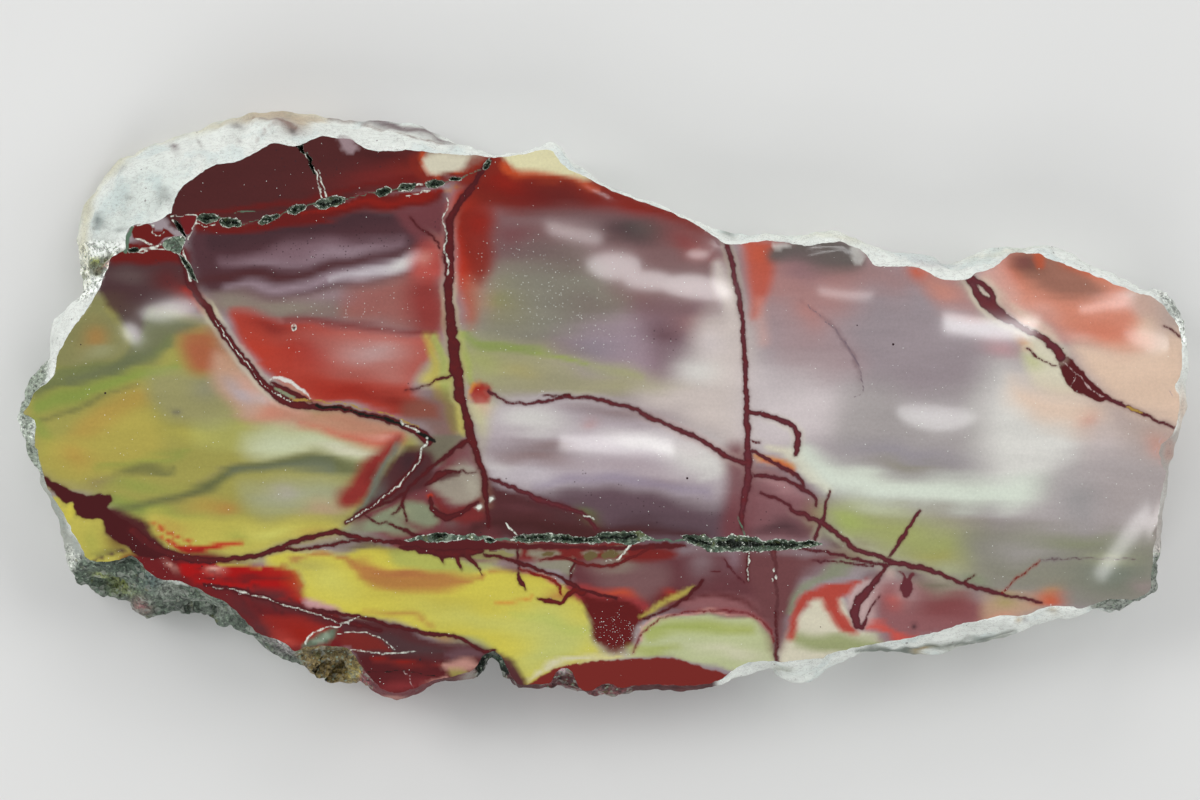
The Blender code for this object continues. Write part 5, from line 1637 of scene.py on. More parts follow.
# %% The pale middle with its purple and maroon under-side
# The grey white and white lilac clouds here are partly the jasper's colour and partly a painted soft
# reflection in the polish.
canvas.paint("""
area cream olive 8 0.95: 464 400 500 402 498 440 490 458 480 440 470 420
area lilac light 13: 494 404 560 400 640 412 700 440 740 470 740 490 700 500 640 490 560 484 500 472 486 456
cloud grey white 0.8: 530 420 36 15 8
cloud grey mauve: 532 450 44 10 2
cloud grey rose 0.6: 545 446 26 6 4
cloud grey rose 0.8: 532 458 38 8 3
cloud grey mauve 0.7: 600 412 50 9 10
cloud rosy 0.4: 590 424 9 6 0
cloud grey rose 0.6: 624 414 52 8 10
cloud mauve 0.25: 622 464 40 6 6
cloud grey white 0.5: 500 466 20 6 10
cloud grey white: 702 458 34 18 28
cloud white lilac 0.8: 690 448 20 8 28
cloud grey white 0.5: 650 444 44 8 8
cloud pale lilac 0.7: 540 478 50 8 10
cloud grey rose 0.6: 656 483 26 7 8
area purple 12 0.95: 530 498 548 492 575 487 605 485 640 489 670 498 700 507 736 500 752 545 680 545 600 542
  560 520
streak violet grey 6 0.8: 536 484 4 570 478 9 605 477 11 640 480 11 672 488 10 704 496 7
streak grey white 6 0.6: 700 482 5 716 476 10 728 466 8
cloud dark plum 0.4: 655 528 70 9 2
area dark rose 10 0.85: 728 452 752 448 762 500 756 540 726 540 722 500
area maroon dusk 6: 488 476 523 490 560 504 602 522 606 542 512 542 484 512
streak brown rose 5 0.85: 480 452 6 484 476 10 485 505 14
streak seam maroon 7 0.9: 476 528 10 510 525 14 560 529 16 610 531 14 660 531 9 706 536 5
cloud plum 0.5: 560 514 30 6 14
cloud warm maroon 0.6: 520 508 18 6 8
cloud dark olive 0.8: 586 512 13 6 25
area crimson brick 3: 468 386 478 382 488 385 490 395 482 402 470 401 466 393
streak orange 1.5 0.9: 465 396 2 468 388 3 476 382 2
cloud pink 0.4: 480 404 12 8 30
""")

# %% Under the long seam
canvas.paint("""
area warm maroon 9: 560 548 640 546 700 552 780 552 800 560 796 600 776 620 700 612 640 614 600 604 576 590
  562 570
area mauve brown 11 0.7: 590 560 640 556 668 570 660 598 610 592
cloud olive grey 0.6: 616 566 20 7 -5
cloud grey mauve 0.4: 700 566 14 12 0
area oxblood red 4: 396 541 520 542 670 545 656 560 600 564 540 562 470 556 410 549
area olive grey 2.5 0.9: 466 550 500 546 518 549 514 557 484 556
area olive grey 2.5 0.9: 524 548 556 547 560 555 530 558
area olive grey 2.5 0.95: 528 561 560 562 576 562 571 578 556 572 538 568
area olive grey 2.5 0.8: 582 553 592 548 600 553 592 559
area olive grey 2.5 0.8: 602 552 622 549 628 554 612 559
cloud lilac 0.5: 735 562 12 12 0
area rosy dark 4: 566 586 600 588 630 594 652 604 650 616 630 620 610 612 580 602
area blob red 3: 584 597 600 596 625 600 650 612 652 618 640 628 632 640 628 650 615 654 604 648 592 636
  590 618
cloud orange red 0.6: 618 593 20 3 8
cloud brick deep 0.95: 670 600 16 9 0
cloud vermilion 0.5: 672 594 8 4 20
streak mustard 2.5 0.95: 644 617 3 668 604 6 684 594 5 694 586 3
area dusty mauve 5 0.9: 676 606 700 598 740 598 766 606 772 630 740 614 700 612
streak maroon 2 0.7: 682 602 2 710 598 4 745 602 4 770 618 4
""")

# %% The pale green bays at the bottom
canvas.paint("""
area bay green 2.5: 618 662 634 652 644 634 662 620 700 614 745 616 766 628 773 645 775 670 740 672 690 662
  650 656
streak yellow green 5 0.85: 650 636 8 680 628 12 716 626 12 752 628 8
streak leaf green 4 0.3: 654 632 4 690 626 6 720 628 4
streak yellow green 5 0.8: 628 652 8 654 652 10 680 650 6
cloud cream 0.6: 732 652 40 7 6
cloud cream yellow 0.6: 600 662 30 6 -10
streak pink 1.5 0.7: 640 640 2 652 624 2 672 616 2 712 611 2 752 615 2 772 634 2
area cream 4: 780 640 800 620 822 598 840 598 850 626 880 640 850 652 800 662 780 664
streak sage green 5: 794 640 12 830 642 18 870 645 14 894 645 8
cloud cream 0.8: 822 614 12 14 0
""")

# %% Right of the funnel: the red swoosh
canvas.paint("""
cloud grey mauve 0.3: 808 566 22 8 -20
area funnel 9 0.95: 740 556 800 552 850 550 868 556 836 564 808 574 796 600 786 625 779 648 772 648 765 625
  756 606
streak sage 4 0.85: 850 562 8 826 572 10 804 592 8 792 614 6
area brick rose 3: 782 640 794 616 808 594 826 584 848 578 868 574 866 584 850 592 838 596 840 612 848 624
  858 634 840 632 830 618 825 600 812 606 798 624 788 642
area pale rose 3: 848 590 862 580 876 570 892 572 886 590 876 606 874 626 858 632 848 620 845 604
area dusty mauve 10: 880 586 920 580 960 594 998 610 980 626 940 636 900 640 876 628
cloud oxblood red 0.5: 945 608 34 12 10
cloud rosy red 0.6: 893 600 11 9 0
cloud olive grey 0.7: 948 590 26 9 12
cloud pale rose 0.5: 905 592 14 12 20
streak rosy red 3 0.9: 866 628 5 886 628 8 910 636 8 920 640 4
cloud dark plum 0.9: 915 621 3 3 0
area dusky rose 11 0.9: 758 470 796 482 816 500 822 525 812 540 758 540
cloud dark plum 0.75: 782 529 34 9 4
cloud pink mauve 0.5: 780 487 22 6 16
streak cream 4 0.9: 770 446 6 790 458 12 808 472 14 826 484 10
streak orange 3 0.9: 758 456 5 772 463 8 790 470 6
streak orange red 2 0.7: 764 461 3 776 466 5 792 474 4
""")

# %% The yellow green and grey lower right
canvas.paint("""
area yellow green 26 0.8: 820 508 850 502 900 510 960 522 986 545 972 572 920 566 870 552 836 532
streak white green 14 0.95: 800 456 14 830 474 24 866 486 26 900 489 24 940 490 24 985 494 28 1040 488 30
cloud leaf bright 0.5: 848 520 22 14 20
cloud mustard olive 0.55: 936 556 22 9 5
cloud pale green 0.6: 880 508 40 7 8
area grey green 22: 970 532 1060 528 1156 530 1154 600 1110 610 1060 600 980 582
cloud mid grey 0.7: 1026 550 44 11 0
cloud dark sage 0.8: 1112 575 38 22 0
cloud leaf green 0.3: 1076 540 46 7 0
area cool grey 20 0.85: 1060 460 1165 455 1158 525 1060 528 1030 520
area peach grey 9 0.9: 980 600 1010 592 1044 598 1040 612 1000 622 984 622
cloud orange red 0.85: 1052 599 16 7 5
cloud orange 0.4: 1052 590 12 6 0
cloud salmon 0.6: 998 618 16 5 -10
cloud rosy grey 0.5: 1142 588 14 8 0
cloud olive grey 0.7: 905 465 34 6 4
cloud cool shade 0.6: 1078 505 20 22 0
cloud pale olive 0.6: 1110 558 26 8 0
cloud pale olive 0.9: 946 571 20 7 10
cloud grey olive dark 0.8: 932 585 18 4 10
cloud sage 0.9: 974 583 18 8 10
cloud mustard olive 0.5: 1004 600 14 9 0
cloud maroon dusk 0.7: 838 546 18 7 20
cloud dark mauve 0.7: 872 574 11 6 20
cloud dark mauve 0.75: 911 574 15 5 10
cloud grey olive dark 0.5: 828 532 10 8 0
""")

# %% [markdown]
# ### Dust, dark specks and pale borders
#
# The polish is peppered with white specks too fine to draw one by one, so only their share of the
# surface is painted here, and the material sows them. Beside some veins the iron has been washed
# out of the jasper, which leaves a pale border: it has a strength and a paint of its own.

# %% Where white dust and dark specks sit: x, y, half length, half width, tilt, share
DUST = """
553 300 75 48 10 1, 500 250 40 20 0 0.5, 350 320 60 36 5 0.6, 612 632 20 17 0 4, 340 285 60 20 0 0.35,
620 345 50 20 0 0.35, 940 400 80 50 0 0.12, 130 400 70 60 0 0.1, 740 548 50 10 0 0.3,
240 180 60 20 -15 0.12, 150 560 70 20 10 0.5, 1100 480 60 50 0 0.12
"""
PEPPER = """
300 254 90 18 -8 1, 250 240 50 14 0 0.8, 380 240 60 16 -10 0.8, 205 262 30 22 0 0.7,
150 285 34 22 0 0.7, 620 500 80 18 5 0.5, 665 336 20 14 10 0.5, 700 520 60 20 0 0.4,
300 180 90 25 -8 0.3
"""


def spots_of(text):
    """The spots of a text, which commas keep apart, as rows of numbers."""
    return [[float(number) for number in spot.split()] for spot in text.split(",")]


def sprinkled(spots, least):
    """The sum of bell-shaped spots: x, y, half length, half width, tilt, share."""
    share = np.full(len(drawn_points), least)
    for x, y, long, wide, tilt, most in spots:
        share += most * bell(*along_and_across(drawn_points, x, y, tilt, long, wide))
    return share


DUST_EVERYWHERE = 0.04
dust = sprinkled(spots_of(DUST), DUST_EVERYWHERE)
pepper = sprinkled(spots_of(PEPPER), 0.0)
print(f"dust on up to {dust.max():.1f} times the usual share")

# %% Pale borders along the veins: paint, strength, then x, y, half length, half width, tilt
HALOS = strokes("""
cream yellow 0.7: 214 314 16 14 55
cream 0.45: 238 354 34 14 56
cream 0.5: 262 386 26 12 40
cream 0.4: 296 388 16 8 30
cream 0.5: 450 300 16 34 0
yellow olive 0.5: 456 380 16 44 0
dusty rose 0.35: 447 232 12 24 0
stone 0.5: 732 268 16 34 -10
cream 0.8: 982 300 30 18 40
cream 0.6: 1040 345 30 16 40
pale rose 0.5: 700 440 60 14 25
cream 0.4: 790 432 30 16 10
pale green 0.3: 850 545 60 12 20
pale lilac 0.4: 560 398 60 10 2
""")
HALO_SPREAD = 1.6
halo = sprinkled([(*spot, strength) for _, (strength,), spot in HALOS], 0.0)
borders = Canvas(drawn_points, "cream")
for paint, _, (x, y, long, wide, tilt) in HALOS:
    borders.cloud(paint, (x, y, HALO_SPREAD * long, HALO_SPREAD * wide, tilt))
halo_paint = borders.colour
print(f"pale borders up to {halo.max():.1f} strong")

# %% [markdown]
# ## Painting the outside
#
# The rind is silica that weathered to white chalk, stained brown and green where water stood on
# it. Rock that broke off later is dark and glassy, and chips of the edge are frosted. The outside
# gets a second canvas of the same points, because at the edge it must not run into the polish.

# %% Paint for the outside: white rind first, then stains, broken rock and chips
face_paint = canvas.colour
outside = Canvas(drawn_points, "chalk")
print("a second canvas, white all over")

# %% The thick rind at the upper left
# The pale blue chalk on the middle and lower slope of the thick rind is painted shade.
outside.paint("""
area blue chalk 14 0.9: 92 235 110 190 150 165 190 165 175 205 130 232
cloud chalk 0.7: 230 145 60 10 -20
streak cream chalk 6: 80 250 8 84 215 10 100 178 10 135 150 10 190 130 9 240 116 7 330 117 5
cloud tan 0.75: 262 117 44 5 -3
cloud tan 0.8: 306 118 30 4 3
cloud taupe 0.6: 234 125 9 3 10
cloud umber 0.85: 291 126 13 6 20
cloud dark plum 0.7: 293 130 4 3 40
cloud tan 0.8: 302 123 9 4 20
streak umber 1.5 0.9: 254 118 1 272 121 1 289 123 1 297 127 1
streak umber 1.5 0.6: 255 140 1 266 130 1 280 124 1
streak umber 1.5 0.9: 329 119 1 355 121 1 380 127 1 406 134 1 440 141 1
streak dark mauve 3 0.9: 330 116 4 360 118 4 390 124 6 420 131 5 450 141 3
cloud pit grey 0.95: 98 219 4.5 6 20
cloud pit grey 0.6: 94 226 5 3 -40
cloud pit grey 0.6: 117 228 7 4 -20
cloud pit grey 0.5: 130 198 5 5 -40
cloud pit grey 0.75: 165 197 8 6 -45
cloud pit grey 0.5: 160 206 5 4 -45
cloud pit grey 0.4: 120 169 8 3 -30
cloud dark mauve 0.85: 172 150 6 3.5 20
cloud taupe 0.5: 201 143 2 7 -20
cloud taupe 0.5: 237 142 3 3 0
cloud blue chalk 0.6: 145 215 30 12 -40
area dark olive 3 0.95: 88 256 104 252 122 254 112 264 100 278 88 274
cloud yellow green 0.8: 93 256 6 3 0
cloud dark mauve 0.6: 104 266 9 5 -30
streak chalk 1.5: 113 256 5 106 273 5 99 290 5 84 305 6
cloud pink 0.6: 108 262 4 4 0
cloud cream chalk 0.7: 84 262 3 26 0
""")

# %% The chipped left tip and the steep facet below it
outside.paint("""
area glassy grey 5: 18 380 30 366 50 358 44 380 36 410 36 440 44 476 30 470 18 430
cloud chalk 0.7: 50 368 7 5 -40
cloud dark sage 0.5: 38 395 5 12 10
cloud chalk 0.6: 30 428 4 12 15
cloud grey mauve 0.8: 50 480 8 5 20
area facet grey 4: 38 476 52 484 68 530 86 555 78 582 62 580 46 520
cloud chalk 0.5: 72 560 7 16 -20
""")

# %% The broken side, the knob and the pocket of ochre
outside.paint("""
area broken rock 5: 74 556 100 552 136 552 160 575 215 592 262 630 310 652 330 672 290 690 200 660 150 640
  74 600
cloud dark broken 0.8: 118 562 20 5 0
cloud yellow green 0.55: 118 588 16 6 15
cloud yellow green 0.5: 98 578 9 4 20
cloud facet grey 0.7: 165 590 12 8 30
cloud dark broken 0.7: 180 604 12 7 30
cloud facet grey 0.6: 205 610 18 6 25
cloud facet grey 0.6: 225 600 16 5 30
cloud blue broken 0.6: 150 577 14 7 30
cloud dark broken 0.6: 240 620 12 5 30
cloud grey mauve 0.7: 280 645 26 6 32
cloud dusty mauve 0.9: 142 607 10 8 20
area ochre rock 3: 300 650 330 644 356 652 370 690 320 690 304 668
cloud mustard 0.8: 350 672 12 5 20
cloud dark broken 0.7: 322 656 14 5 10
cloud dark broken 0.4: 338 668 10 5 0
area dark rose 3: 356 668 390 678 420 678 440 670 466 664 480 656 486 694 400 706 362 700
cloud dark broken 0.7: 444 684 14 5 -20
cloud pink 0.6: 392 697 16 3 0
cloud facet grey 0.6: 470 676 10 4 -30
""")

# %% The notch and the chips of the lower edge
# The notch's walls are painted near black: painted shade in the hollow, with grey quartz in it.
# The pale blue chalk cloud on the lower rind is painted shade on its slope as well.
outside.paint("""
area dark broken 3: 480 650 500 648 514 690 478 690
cloud quartz 0.6: 497 660 8 8 30
area frosted mauve 3: 546 664 576 664 580 700 546 700
area frosted mauve 3: 590 680 626 680 626 702 590 702
area maroon dusk 2: 508 670 545 672 600 674 660 672 716 664 722 688 690 696 600 702 510 694
cloud dusty mauve 0.6: 560 690 18 4 0
cloud dusty mauve 0.7: 610 694 18 4 0
cloud rosy red 0.4: 660 692 24 3 -6
area chalk 3: 715 690 732 672 780 664 780 690
cloud sage 0.6: 783 666 10 4 10
cloud blue chalk 0.7: 800 672 24 7 -8
""")

# %% The rind at the lower right, and the frosted corner
outside.paint("""
streak dark facet 3 0.9: 856 652 4 880 650 7 930 646 6 980 640 6 1015 632 3
streak facet grey 1.5 0.8: 880 655 2 930 650 3 970 644 3 1004 637 2
cloud ochre 0.9: 919 650 9 2.2 -5
cloud dark olive 0.8: 931 648 6 1.6 0
cloud ochre 0.8: 1019 620 3 3 0
cloud ochre 0.6: 1052 611 5 4 0
cloud taupe 0.6: 1026 621 4 2 50
area frosted grey 4: 1095 590 1130 585 1150 560 1165 520 1180 560 1160 612 1100 618
cloud dark sage 0.7: 1112 601 14 6 -10
cloud chalk 0.35: 1122 598 8 4 -30
cloud rosy grey 0.8: 1142 589 9 5 -20
cloud dark sage 0.7: 1152 575 4 12 15
area end grey 5: 1150 440 1185 420 1190 300 1160 290 1180 292 1196 350 1192 440 1176 520 1162 560 1150 540
  1160 500
cloud peach 0.7: 1180 410 6 26 0
cloud salmon 0.5: 1168 450 6 10 0
cloud frosted grey 0.8: 1172 308 12 18 -30
cloud chalk 0.5: 1172 470 5 30 10
""")

# %% The upper right
outside.paint("""
cloud pit grey 0.45: 1140 285 14 2.5 25
cloud frosted grey 0.6: 1010 259 9 6 -40
cloud cream chalk 0.5: 850 240 70 5 6
cloud cream chalk 0.4: 1000 252 60 5 -8
cloud pale lilac 0.4: 930 262 30 4 12
cloud frosted grey 0.7: 728 236 7 4 20
cloud pit grey 0.5: 780 243 10 3 0
area frosted mauve 1.5 0.5: 337 137 348 136 357 141 359 150 350 154 342 150
""")
rind_paint = outside.colour

# %% [markdown]
# ## Handing the paint to the mesh
#
# Everything painted so far is one value or one colour for each point. As attributes of the mesh
# any material can read them. On the lower half of the sides the colours of the edge run down.
# There each row is averaged along the rim, the lower the wider, so that they blend as stains do
# instead of ending in stripes.


# %% All paint as attributes of the mesh
def store(name, values):
    """One value or colour for every point, as an attribute that a material can read."""
    values = np.asarray(values, np.float32)
    kind, field = ("FLOAT", "value") if values.ndim == 1 else ("FLOAT_COLOR", "color")
    if values.ndim == 2:
        values = np.column_stack([values, np.ones(len(values), np.float32)])
    mesh.attributes.new(name, kind, "POINT").data.foreach_set(field, values.ravel())


def run_together(values):
    """Values of the side, where a row below the edge is the mean of its places along the rim: the
    lower the row, the farther apart they lie."""
    values = values.reshape(len(grid) - 1, ring, -1).copy()
    for row in range(len(UPPER_ROWS) - 1, len(values)):
        spread = 2 * (row - len(UPPER_ROWS) + 2)
        values[row] = sum(np.roll(values[row], step, axis=0) for step in range(-spread, spread + 1))
        values[row] /= 2 * spread + 1
    return values.reshape(first_back - first_side, -1)


store("face_paint", face_paint)
rind_paint[first_side:first_back] = run_together(rind_paint[first_side:first_back])
store("rind_paint", rind_paint)
loose_points = ragged(drawn_points)
for name, drawing in DRAWINGS.items():
    depth, colour = drawn(loose_points, *drawing)
    store(name + "_depth", depth)
    if name != "crystal":
        store(name + "_paint", colour)
from_vug = np.full(len(vertices), FAR)
from_vug[: len(face_flat)] = vug_gap(face_flat)
store("vug_gap", from_vug)
on_side = np.zeros(len(vertices))
on_side[: len(edge)] = broken[0]
on_side[first_side:first_back] = run_together(broken[1:].reshape(-1, 1)).ravel()
store("broken", on_side)
store("dust", dust)
store("pepper", pepper)
store("halo", np.minimum(halo, 0.9))
store("halo_paint", halo_paint)
print(f"{len(mesh.attributes)} attributes")

# %% [markdown]
# ## Materials
#
# The paint above is as fine as the mesh, a millimetre or half of one. What is finer is left to the
# materials: the grain, the uneven edge of a vein, specks, crystals, chalk and saw marks, all from
# noise whose size is given in metres. The nodes could be set up by mouse, but a recipe in words
# can be read, and the same words build all three materials.


# %% A few words for building a node tree
class Recipe:
    """A material whose nodes are added one call at a time; each call returns an output."""

    def __init__(self, name):
        self.material = bpy.data.materials.new(name)
        self.material.use_nodes = True
        self.nodes = self.material.node_tree.nodes
        self.links = self.material.node_tree.links
        self.shader = self.nodes["Principled BSDF"]
        self.place = self.nodes.new("ShaderNodeTexCoord").outputs["Object"]

    def feed(self, socket, value):
        if isinstance(value, bpy.types.NodeSocket):
            self.links.new(value, socket)
        else:
            socket.default_value = value

    def attribute(self, name, output="Fac"):
        node = self.nodes.new("ShaderNodeAttribute")
        node.attribute_name = name
        return node.outputs[output]

    def calc(self, operation, a, b=0.0, clamp=False):
        node = self.nodes.new("ShaderNodeMath")
        node.operation, node.use_clamp = operation, clamp
        self.feed(node.inputs[0], a)
        self.feed(node.inputs[1], b)
        return node.outputs[0]

    def mix(self, share, a, b, blend="MIX"):
        node = self.nodes.new("ShaderNodeMix")
        node.data_type, node.blend_type = "RGBA", blend
        self.feed(node.inputs[0], share)
        self.feed(node.inputs[6], a)
        self.feed(node.inputs[7], b)
        return node.outputs[2]

    def stretched(self, scale, turn=0.0):
        node = self.nodes.new("ShaderNodeMapping")
        node.inputs["Scale"].default_value = scale
        node.inputs["Rotation"].default_value = (0.0, 0.0, turn)
        self.links.new(self.place, node.inputs["Vector"])
        return node.outputs[0]

    def noise(self, size, detail=2.0, roughness=0.5, vector=None):
        """Fractal noise from 0 to 1, in lumps about `size` metres across."""
        node = self.nodes.new("ShaderNodeTexNoise")
        node.inputs["Scale"].default_value = 1.0 / size
        node.inputs["Detail"].default_value = detail
        node.inputs["Roughness"].default_value = roughness
        self.links.new(vector or self.place, node.inputs["Vector"])
        return node.outputs["Fac"]

    def cells(self, size):
        """Voronoi cells: two random numbers for each cell, and the distance from its point."""
        node = self.nodes.new("ShaderNodeTexVoronoi")
        node.inputs["Scale"].default_value = 1.0 / size
        self.links.new(self.place, node.inputs["Vector"])
        lot = self.nodes.new("ShaderNodeSeparateColor")
        self.links.new(node.outputs["Color"], lot.inputs[0])
        return lot.outputs[0], lot.outputs[1], node.outputs["Distance"]

    def between(self, value, low, high, to_low=0.0, to_high=1.0, smooth=True):
        """The value from low to high, turned into one from to_low to to_high."""
        node = self.nodes.new("ShaderNodeMapRange")
        node.interpolation_type = "SMOOTHSTEP" if smooth else "LINEAR"
        self.feed(node.inputs[0], value)
        for number, limit in enumerate((low, high, to_low, to_high), start=1):
            node.inputs[number].default_value = limit
        return node.outputs[0]

    def bump(self, height, distance, strength=1.0, normal=None):
        node = self.nodes.new("ShaderNodeBump")
        node.inputs["Strength"].default_value = strength
        node.inputs["Distance"].default_value = distance
        self.feed(node.inputs["Height"], height)
        if normal is not None:
            self.links.new(normal, node.inputs["Normal"])
        return node.outputs[0]

    def finish(self, colour, roughness, normal=None):
        self.feed(self.shader.inputs["Base Color"], colour)
        self.feed(self.shader.inputs["Roughness"], roughness)
        if normal is not None:
            self.links.new(normal, self.shader.inputs["Normal"])
        return self.material


def linear(name):
    """A paint as a node socket takes it, with full cover."""
    return (*mixed(name), 1.0)


print(len([word for word in vars(Recipe) if word[0] != "_"]), "words for recipes")

# %% [markdown]
# ## Polished jasper
#
# The ground is the painted colour with grain and faint wisps along the beds. Shapes, veins and
# threads lie over it, each with its own uneven edge. In the seams there are quartz crystals, seen
# as cells of two sizes with a painted white glint here and there and painted black shade deep in
# the cavities, and a lace of white quartz borders them. Last comes the white dust. The polish is
# nearly a mirror and only the crystals are rough.


# %% Polished jasper
POLISHED, BROKEN_QUARTZ = 0.034, 0.38


def drawn_layers(recipe, ground):
    """Shapes, veins and threads over the ground, each edge made uneven by fine noise. A vein is
    darkest along its edge and redder in its middle."""
    jitter = recipe.calc("SUBTRACT", recipe.noise(0.0007, 3.0, 0.6), 0.5)
    wine = recipe.between(recipe.noise(0.0030, 4.0, 0.65), 0.40, 0.70, 0.0, 0.45)
    for name, unevenness, glow in (("shape", 1.6, 0.22), ("vein", 2.0, 0.30), ("thread", 1.8, 0.0)):
        depth = recipe.attribute(name + "_depth")
        paint = recipe.attribute(name + "_paint", "Color")
        if name == "vein":
            band = recipe.between(depth, -6.9, -1.6)
            band = recipe.calc("MULTIPLY", band, recipe.attribute("halo"))
            ground = recipe.mix(band, ground, recipe.attribute("halo_paint", "Color"))
        if glow:
            near = recipe.between(depth, -3.6, 0.4, 0.0, glow)
            ground = recipe.mix(near, ground, paint)
        uneven = recipe.calc("ADD", depth, recipe.calc("MULTIPLY", jitter, unevenness))
        if name == "vein":
            core = recipe.mix(wine, paint, linear("wine"))
            inner = recipe.between(uneven, 0.0, 2.6, 0.45, 1.0)
            paint = recipe.mix(inner, linear("vein edge"), core)
        cover = recipe.between(uneven, -1.0, 0.9)
        ground = recipe.mix(cover, ground, paint)
    return ground


def specks(recipe, size, share, radius):
    """Round specks in a share of the cells of a Voronoi pattern, each of its own size."""
    lot, second_lot, distance = recipe.cells(size)
    drawn_lot = recipe.calc("LESS_THAN", lot, share)
    spread = recipe.calc("MULTIPLY", second_lot, radius)
    return recipe.calc("MULTIPLY", drawn_lot, recipe.calc("LESS_THAN", distance, spread))


def druse(recipe, depth):
    """Grey green crystals: cells in two sizes, patches of yellow green, here and there a painted
    white glint, and painted black shade deep in a cavity, broken up by noise. Returns the colour
    and a height."""
    large, _, border = recipe.cells(0.0009)
    small, _, _ = recipe.cells(0.0004)
    colour = recipe.mix(recipe.between(small, 0.2, 1.0), linear("dark quartz"), linear("quartz"))
    colour = recipe.mix(recipe.between(large, 0.55, 0.95, 0.0, 0.7), colour, linear("pale quartz"))
    moss = recipe.between(recipe.noise(0.0026, 3.0), 0.56, 0.70, 0.0, 0.5)
    colour = recipe.mix(moss, colour, linear("moss quartz"))
    along = recipe.stretched((1.0, 4.5, 1.0), math.radians(4.0))
    bands = recipe.between(recipe.noise(0.0022, 3.0, 0.6, along), 0.35, 0.62, 0.72, 1.12)
    colour = recipe.mix(1.0, colour, bands, "MULTIPLY")
    # Painted shade: black where a cavity is deep, broken up by noise.
    shade_depth = recipe.calc("ADD", depth, recipe.calc("MULTIPLY", recipe.noise(0.0015, 3.0, 0.7), 7.0))
    colour = recipe.mix(recipe.between(shade_depth, 7.2, 8.6, 0.0, 0.9), colour, linear("soot"))
    # Painted highlights: white glints on a few of the small crystal cells.
    colour = recipe.mix(recipe.between(small, 0.93, 0.97), colour, linear("white quartz"))
    return colour, recipe.calc("ADD", small, border)


def polished_jasper():
    recipe = Recipe("polished_jasper")
    grain = recipe.between(recipe.noise(0.0007, 4.0, 0.7), 0.3, 0.7, 0.93, 1.05, smooth=False)
    beds = recipe.stretched((1.0, 5.0, 1.0), math.radians(7.0))
    wisps = recipe.between(recipe.noise(0.030, 5.0, 0.6, beds), 0.35, 0.65, 0.955, 1.04)
    ground = recipe.mix(1.0, recipe.attribute("face_paint", "Color"), grain, "MULTIPLY")
    ground = recipe.mix(1.0, ground, wisps, "MULTIPLY")
    share = recipe.calc("MULTIPLY", recipe.attribute("pepper"), 0.5)
    dark_specks = specks(recipe, 0.0007, share, 0.34)
    ground = recipe.mix(recipe.calc("MULTIPLY", dark_specks, 0.55), ground, linear("dark plum"))
    colour = drawn_layers(recipe, ground)

    jitter = recipe.calc("SUBTRACT", recipe.noise(0.0007, 3.0, 0.7), 0.5)
    hole = recipe.calc("MULTIPLY", recipe.attribute("vug_gap"), -1.0)
    in_crystals = recipe.calc("MAXIMUM", hole, recipe.attribute("crystal_depth"))
    uneven = recipe.calc("ADD", in_crystals, recipe.calc("MULTIPLY", jitter, 1.5))
    crystal_colour, crystal_height = druse(recipe, hole)
    cover = recipe.between(uneven, -0.35, 0.45)
    colour = recipe.mix(cover, colour, crystal_colour)
    off_border = recipe.calc("ABSOLUTE", recipe.calc("SUBTRACT", uneven, 0.2))
    lace = recipe.between(off_border, 0.25, 0.75, 1.0, 0.0)
    lace = recipe.calc("MULTIPLY", lace, recipe.between(recipe.noise(0.0008, 2.0), 0.48, 0.58))
    colour = recipe.mix(lace, colour, linear("white quartz"))

    share = recipe.calc("MULTIPLY", recipe.attribute("dust"), 0.42)
    white_dust = specks(recipe, 0.00044, share, 0.26)
    colour = recipe.mix(recipe.calc("MULTIPLY", white_dust, 0.85), colour, linear("chalk"))
    pits = specks(recipe, 0.0031, 0.05, 0.10)
    colour = recipe.mix(pits, colour, linear("dark plum"))

    roughness = recipe.between(cover, 0.0, 1.0, POLISHED, BROKEN_QUARTZ)
    relief = recipe.calc("MULTIPLY", cover, crystal_height)
    normal = recipe.bump(recipe.calc("SUBTRACT", relief, pits), 0.0003, 0.9)
    return recipe.finish(colour, roughness, normal)


slab.data.materials.append(polished_jasper())
print(f"{len(slab.data.materials[0].node_tree.nodes)} nodes in the polished jasper")

# %% [markdown]
# ## The material of the outside
#
# One material serves rind and rock, because the one turns into the other within a millimetre or
# two. Rind is matt chalk with cool patches, brown pocks, grime and hair-thin scratches. Broken
# rock is dark, with crystal faces painted lighter as glints, moss coloured quartz and black cracks.


# %% Rind and broken rock
CHALK, ROCK = 0.80, 0.38


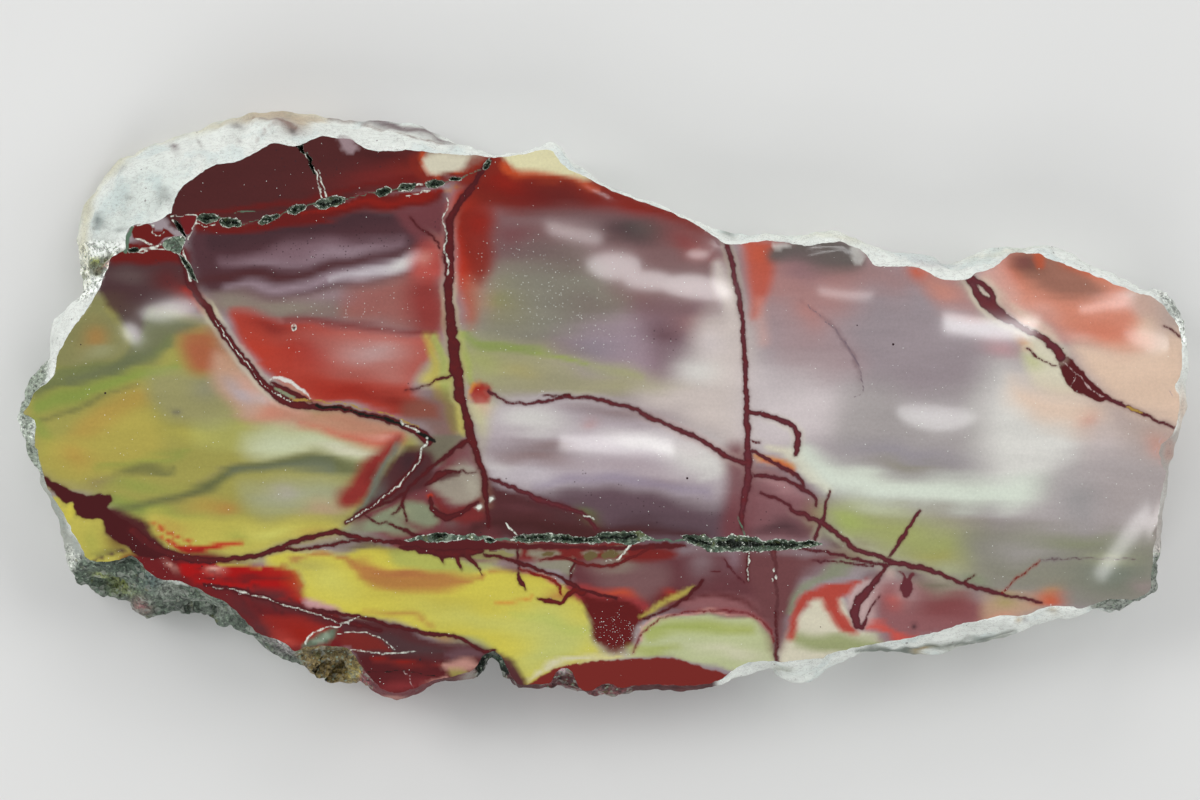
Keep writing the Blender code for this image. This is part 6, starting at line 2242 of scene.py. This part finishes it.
def rind_and_rock():
    recipe = Recipe("rind_and_broken_rock")
    is_rock = recipe.attribute("broken")
    paint = recipe.attribute("rind_paint", "Color")
    blotches = recipe.between(recipe.noise(0.0060, 5.0, 0.65), 0.30, 0.60, 0.90, 1.03)
    chalk = recipe.mix(1.0, paint, blotches, "MULTIPLY")
    cool = recipe.between(recipe.noise(0.0110, 4.0, 0.6), 0.50, 0.66, 0.0, 0.55)
    chalk = recipe.mix(cool, chalk, recipe.mix(1.0, paint, linear("cool veil"), "MULTIPLY"))
    pocks = recipe.noise(0.0016, 6.0, 0.78)
    stain = recipe.between(pocks, 0.62, 0.72, 0.0, 0.5)
    chalk = recipe.mix(stain, chalk, linear("pit grey"))
    slanting = recipe.stretched((1.0, 3.0, 2.0), math.radians(-35.0))
    scratches = recipe.noise(0.0040, 5.0, 0.7, slanting)
    off_scratch = recipe.calc("ABSOLUTE", recipe.calc("SUBTRACT", scratches, 0.5))
    chalk = recipe.mix(recipe.between(off_scratch, 0.0, 0.016, 0.50, 0.0), chalk, linear("taupe"))
    grime = specks(recipe, 0.0017, 0.10, 0.22)
    chalk = recipe.mix(recipe.calc("MULTIPLY", grime, 0.6), chalk, linear("taupe"))

    shade, _, border = recipe.cells(0.0014)
    small, _, _ = recipe.cells(0.0005)
    flecks = recipe.between(recipe.noise(0.0011, 6.0, 0.8), 0.33, 0.67, 0.12, 2.3)
    rock = recipe.mix(1.0, paint, flecks, "MULTIPLY")
    # Painted highlights: some crystal faces are painted a lighter grey, as glints.
    rock = recipe.mix(recipe.between(shade, 0.74, 0.95, 0.0, 0.55), rock, linear("facet grey"))
    moss = recipe.between(recipe.noise(0.0034, 4.0, 0.7), 0.58, 0.70, 0.0, 0.55)
    rock = recipe.mix(moss, rock, linear("moss quartz"))
    rock = recipe.mix(recipe.between(small, 0.90, 0.97, 0.0, 0.85), rock, linear("pale quartz"))
    cracks = recipe.between(recipe.noise(0.0024, 5.0, 0.8), 0.30, 0.42, 1.0, 0.0)
    rock = recipe.mix(recipe.calc("MULTIPLY", cracks, 0.8), rock, linear("soot"))
    colour = recipe.mix(is_rock, chalk, rock)

    fine = recipe.calc("ADD", recipe.noise(0.0009, 6.0, 0.7), recipe.calc("MULTIPLY", stain, -0.8))
    faces = recipe.calc("MULTIPLY", recipe.calc("MULTIPLY", border, is_rock), 1.5)
    height = recipe.calc("ADD", fine, faces)
    roughness = recipe.between(is_rock, 0.0, 1.0, CHALK, ROCK)
    return recipe.finish(colour, roughness, recipe.bump(height, 0.0008, 0.85))


slab.data.materials.append(rind_and_rock())
print(f"{len(slab.data.materials[1].node_tree.nodes)} nodes in rind and rock")

# %% [markdown]
# ## The sawn back
#
# The back shows what the saw met: nearly the pattern of the face, but matt and grey with stone
# dust. A round saw leaves arcs, so the marks are rings about a centre far outside the slab.


# %% The sawn back
def sawn_back():
    recipe = Recipe("sawn_back")
    grain = recipe.between(recipe.noise(0.0012, 5.0, 0.65), 0.3, 0.7, 0.90, 1.06, smooth=False)
    ground = recipe.mix(1.0, recipe.attribute("face_paint", "Color"), grain, "MULTIPLY")
    ground = drawn_layers(recipe, ground)
    dusty = recipe.mix(0.30, ground, linear("pale grey"))
    saw = recipe.nodes.new("ShaderNodeTexWave")
    saw.wave_type, saw.rings_direction = "RINGS", "SPHERICAL"
    far = recipe.nodes.new("ShaderNodeMapping")
    far.inputs["Location"].default_value = (0.05, 0.42, 0.0)
    recipe.links.new(recipe.place, far.inputs["Vector"])
    recipe.links.new(far.outputs[0], saw.inputs["Vector"])
    saw.inputs["Scale"].default_value = 130.0
    saw.inputs["Distortion"].default_value = 1.5
    marks = recipe.between(saw.outputs["Fac"], 0.0, 1.0, 0.96, 1.03)
    dusty = recipe.mix(1.0, dusty, marks, "MULTIPLY")
    return recipe.finish(dusty, 0.62, recipe.bump(saw.outputs["Fac"], 0.00012, 0.6))


slab.data.materials.append(sawn_back())
print(f"{len(slab.data.materials)} materials on the slab")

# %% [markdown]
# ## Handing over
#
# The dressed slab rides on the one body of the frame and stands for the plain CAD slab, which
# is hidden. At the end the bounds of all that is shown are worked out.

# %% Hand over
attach(slab, "root")
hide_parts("slab")
low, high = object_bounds()
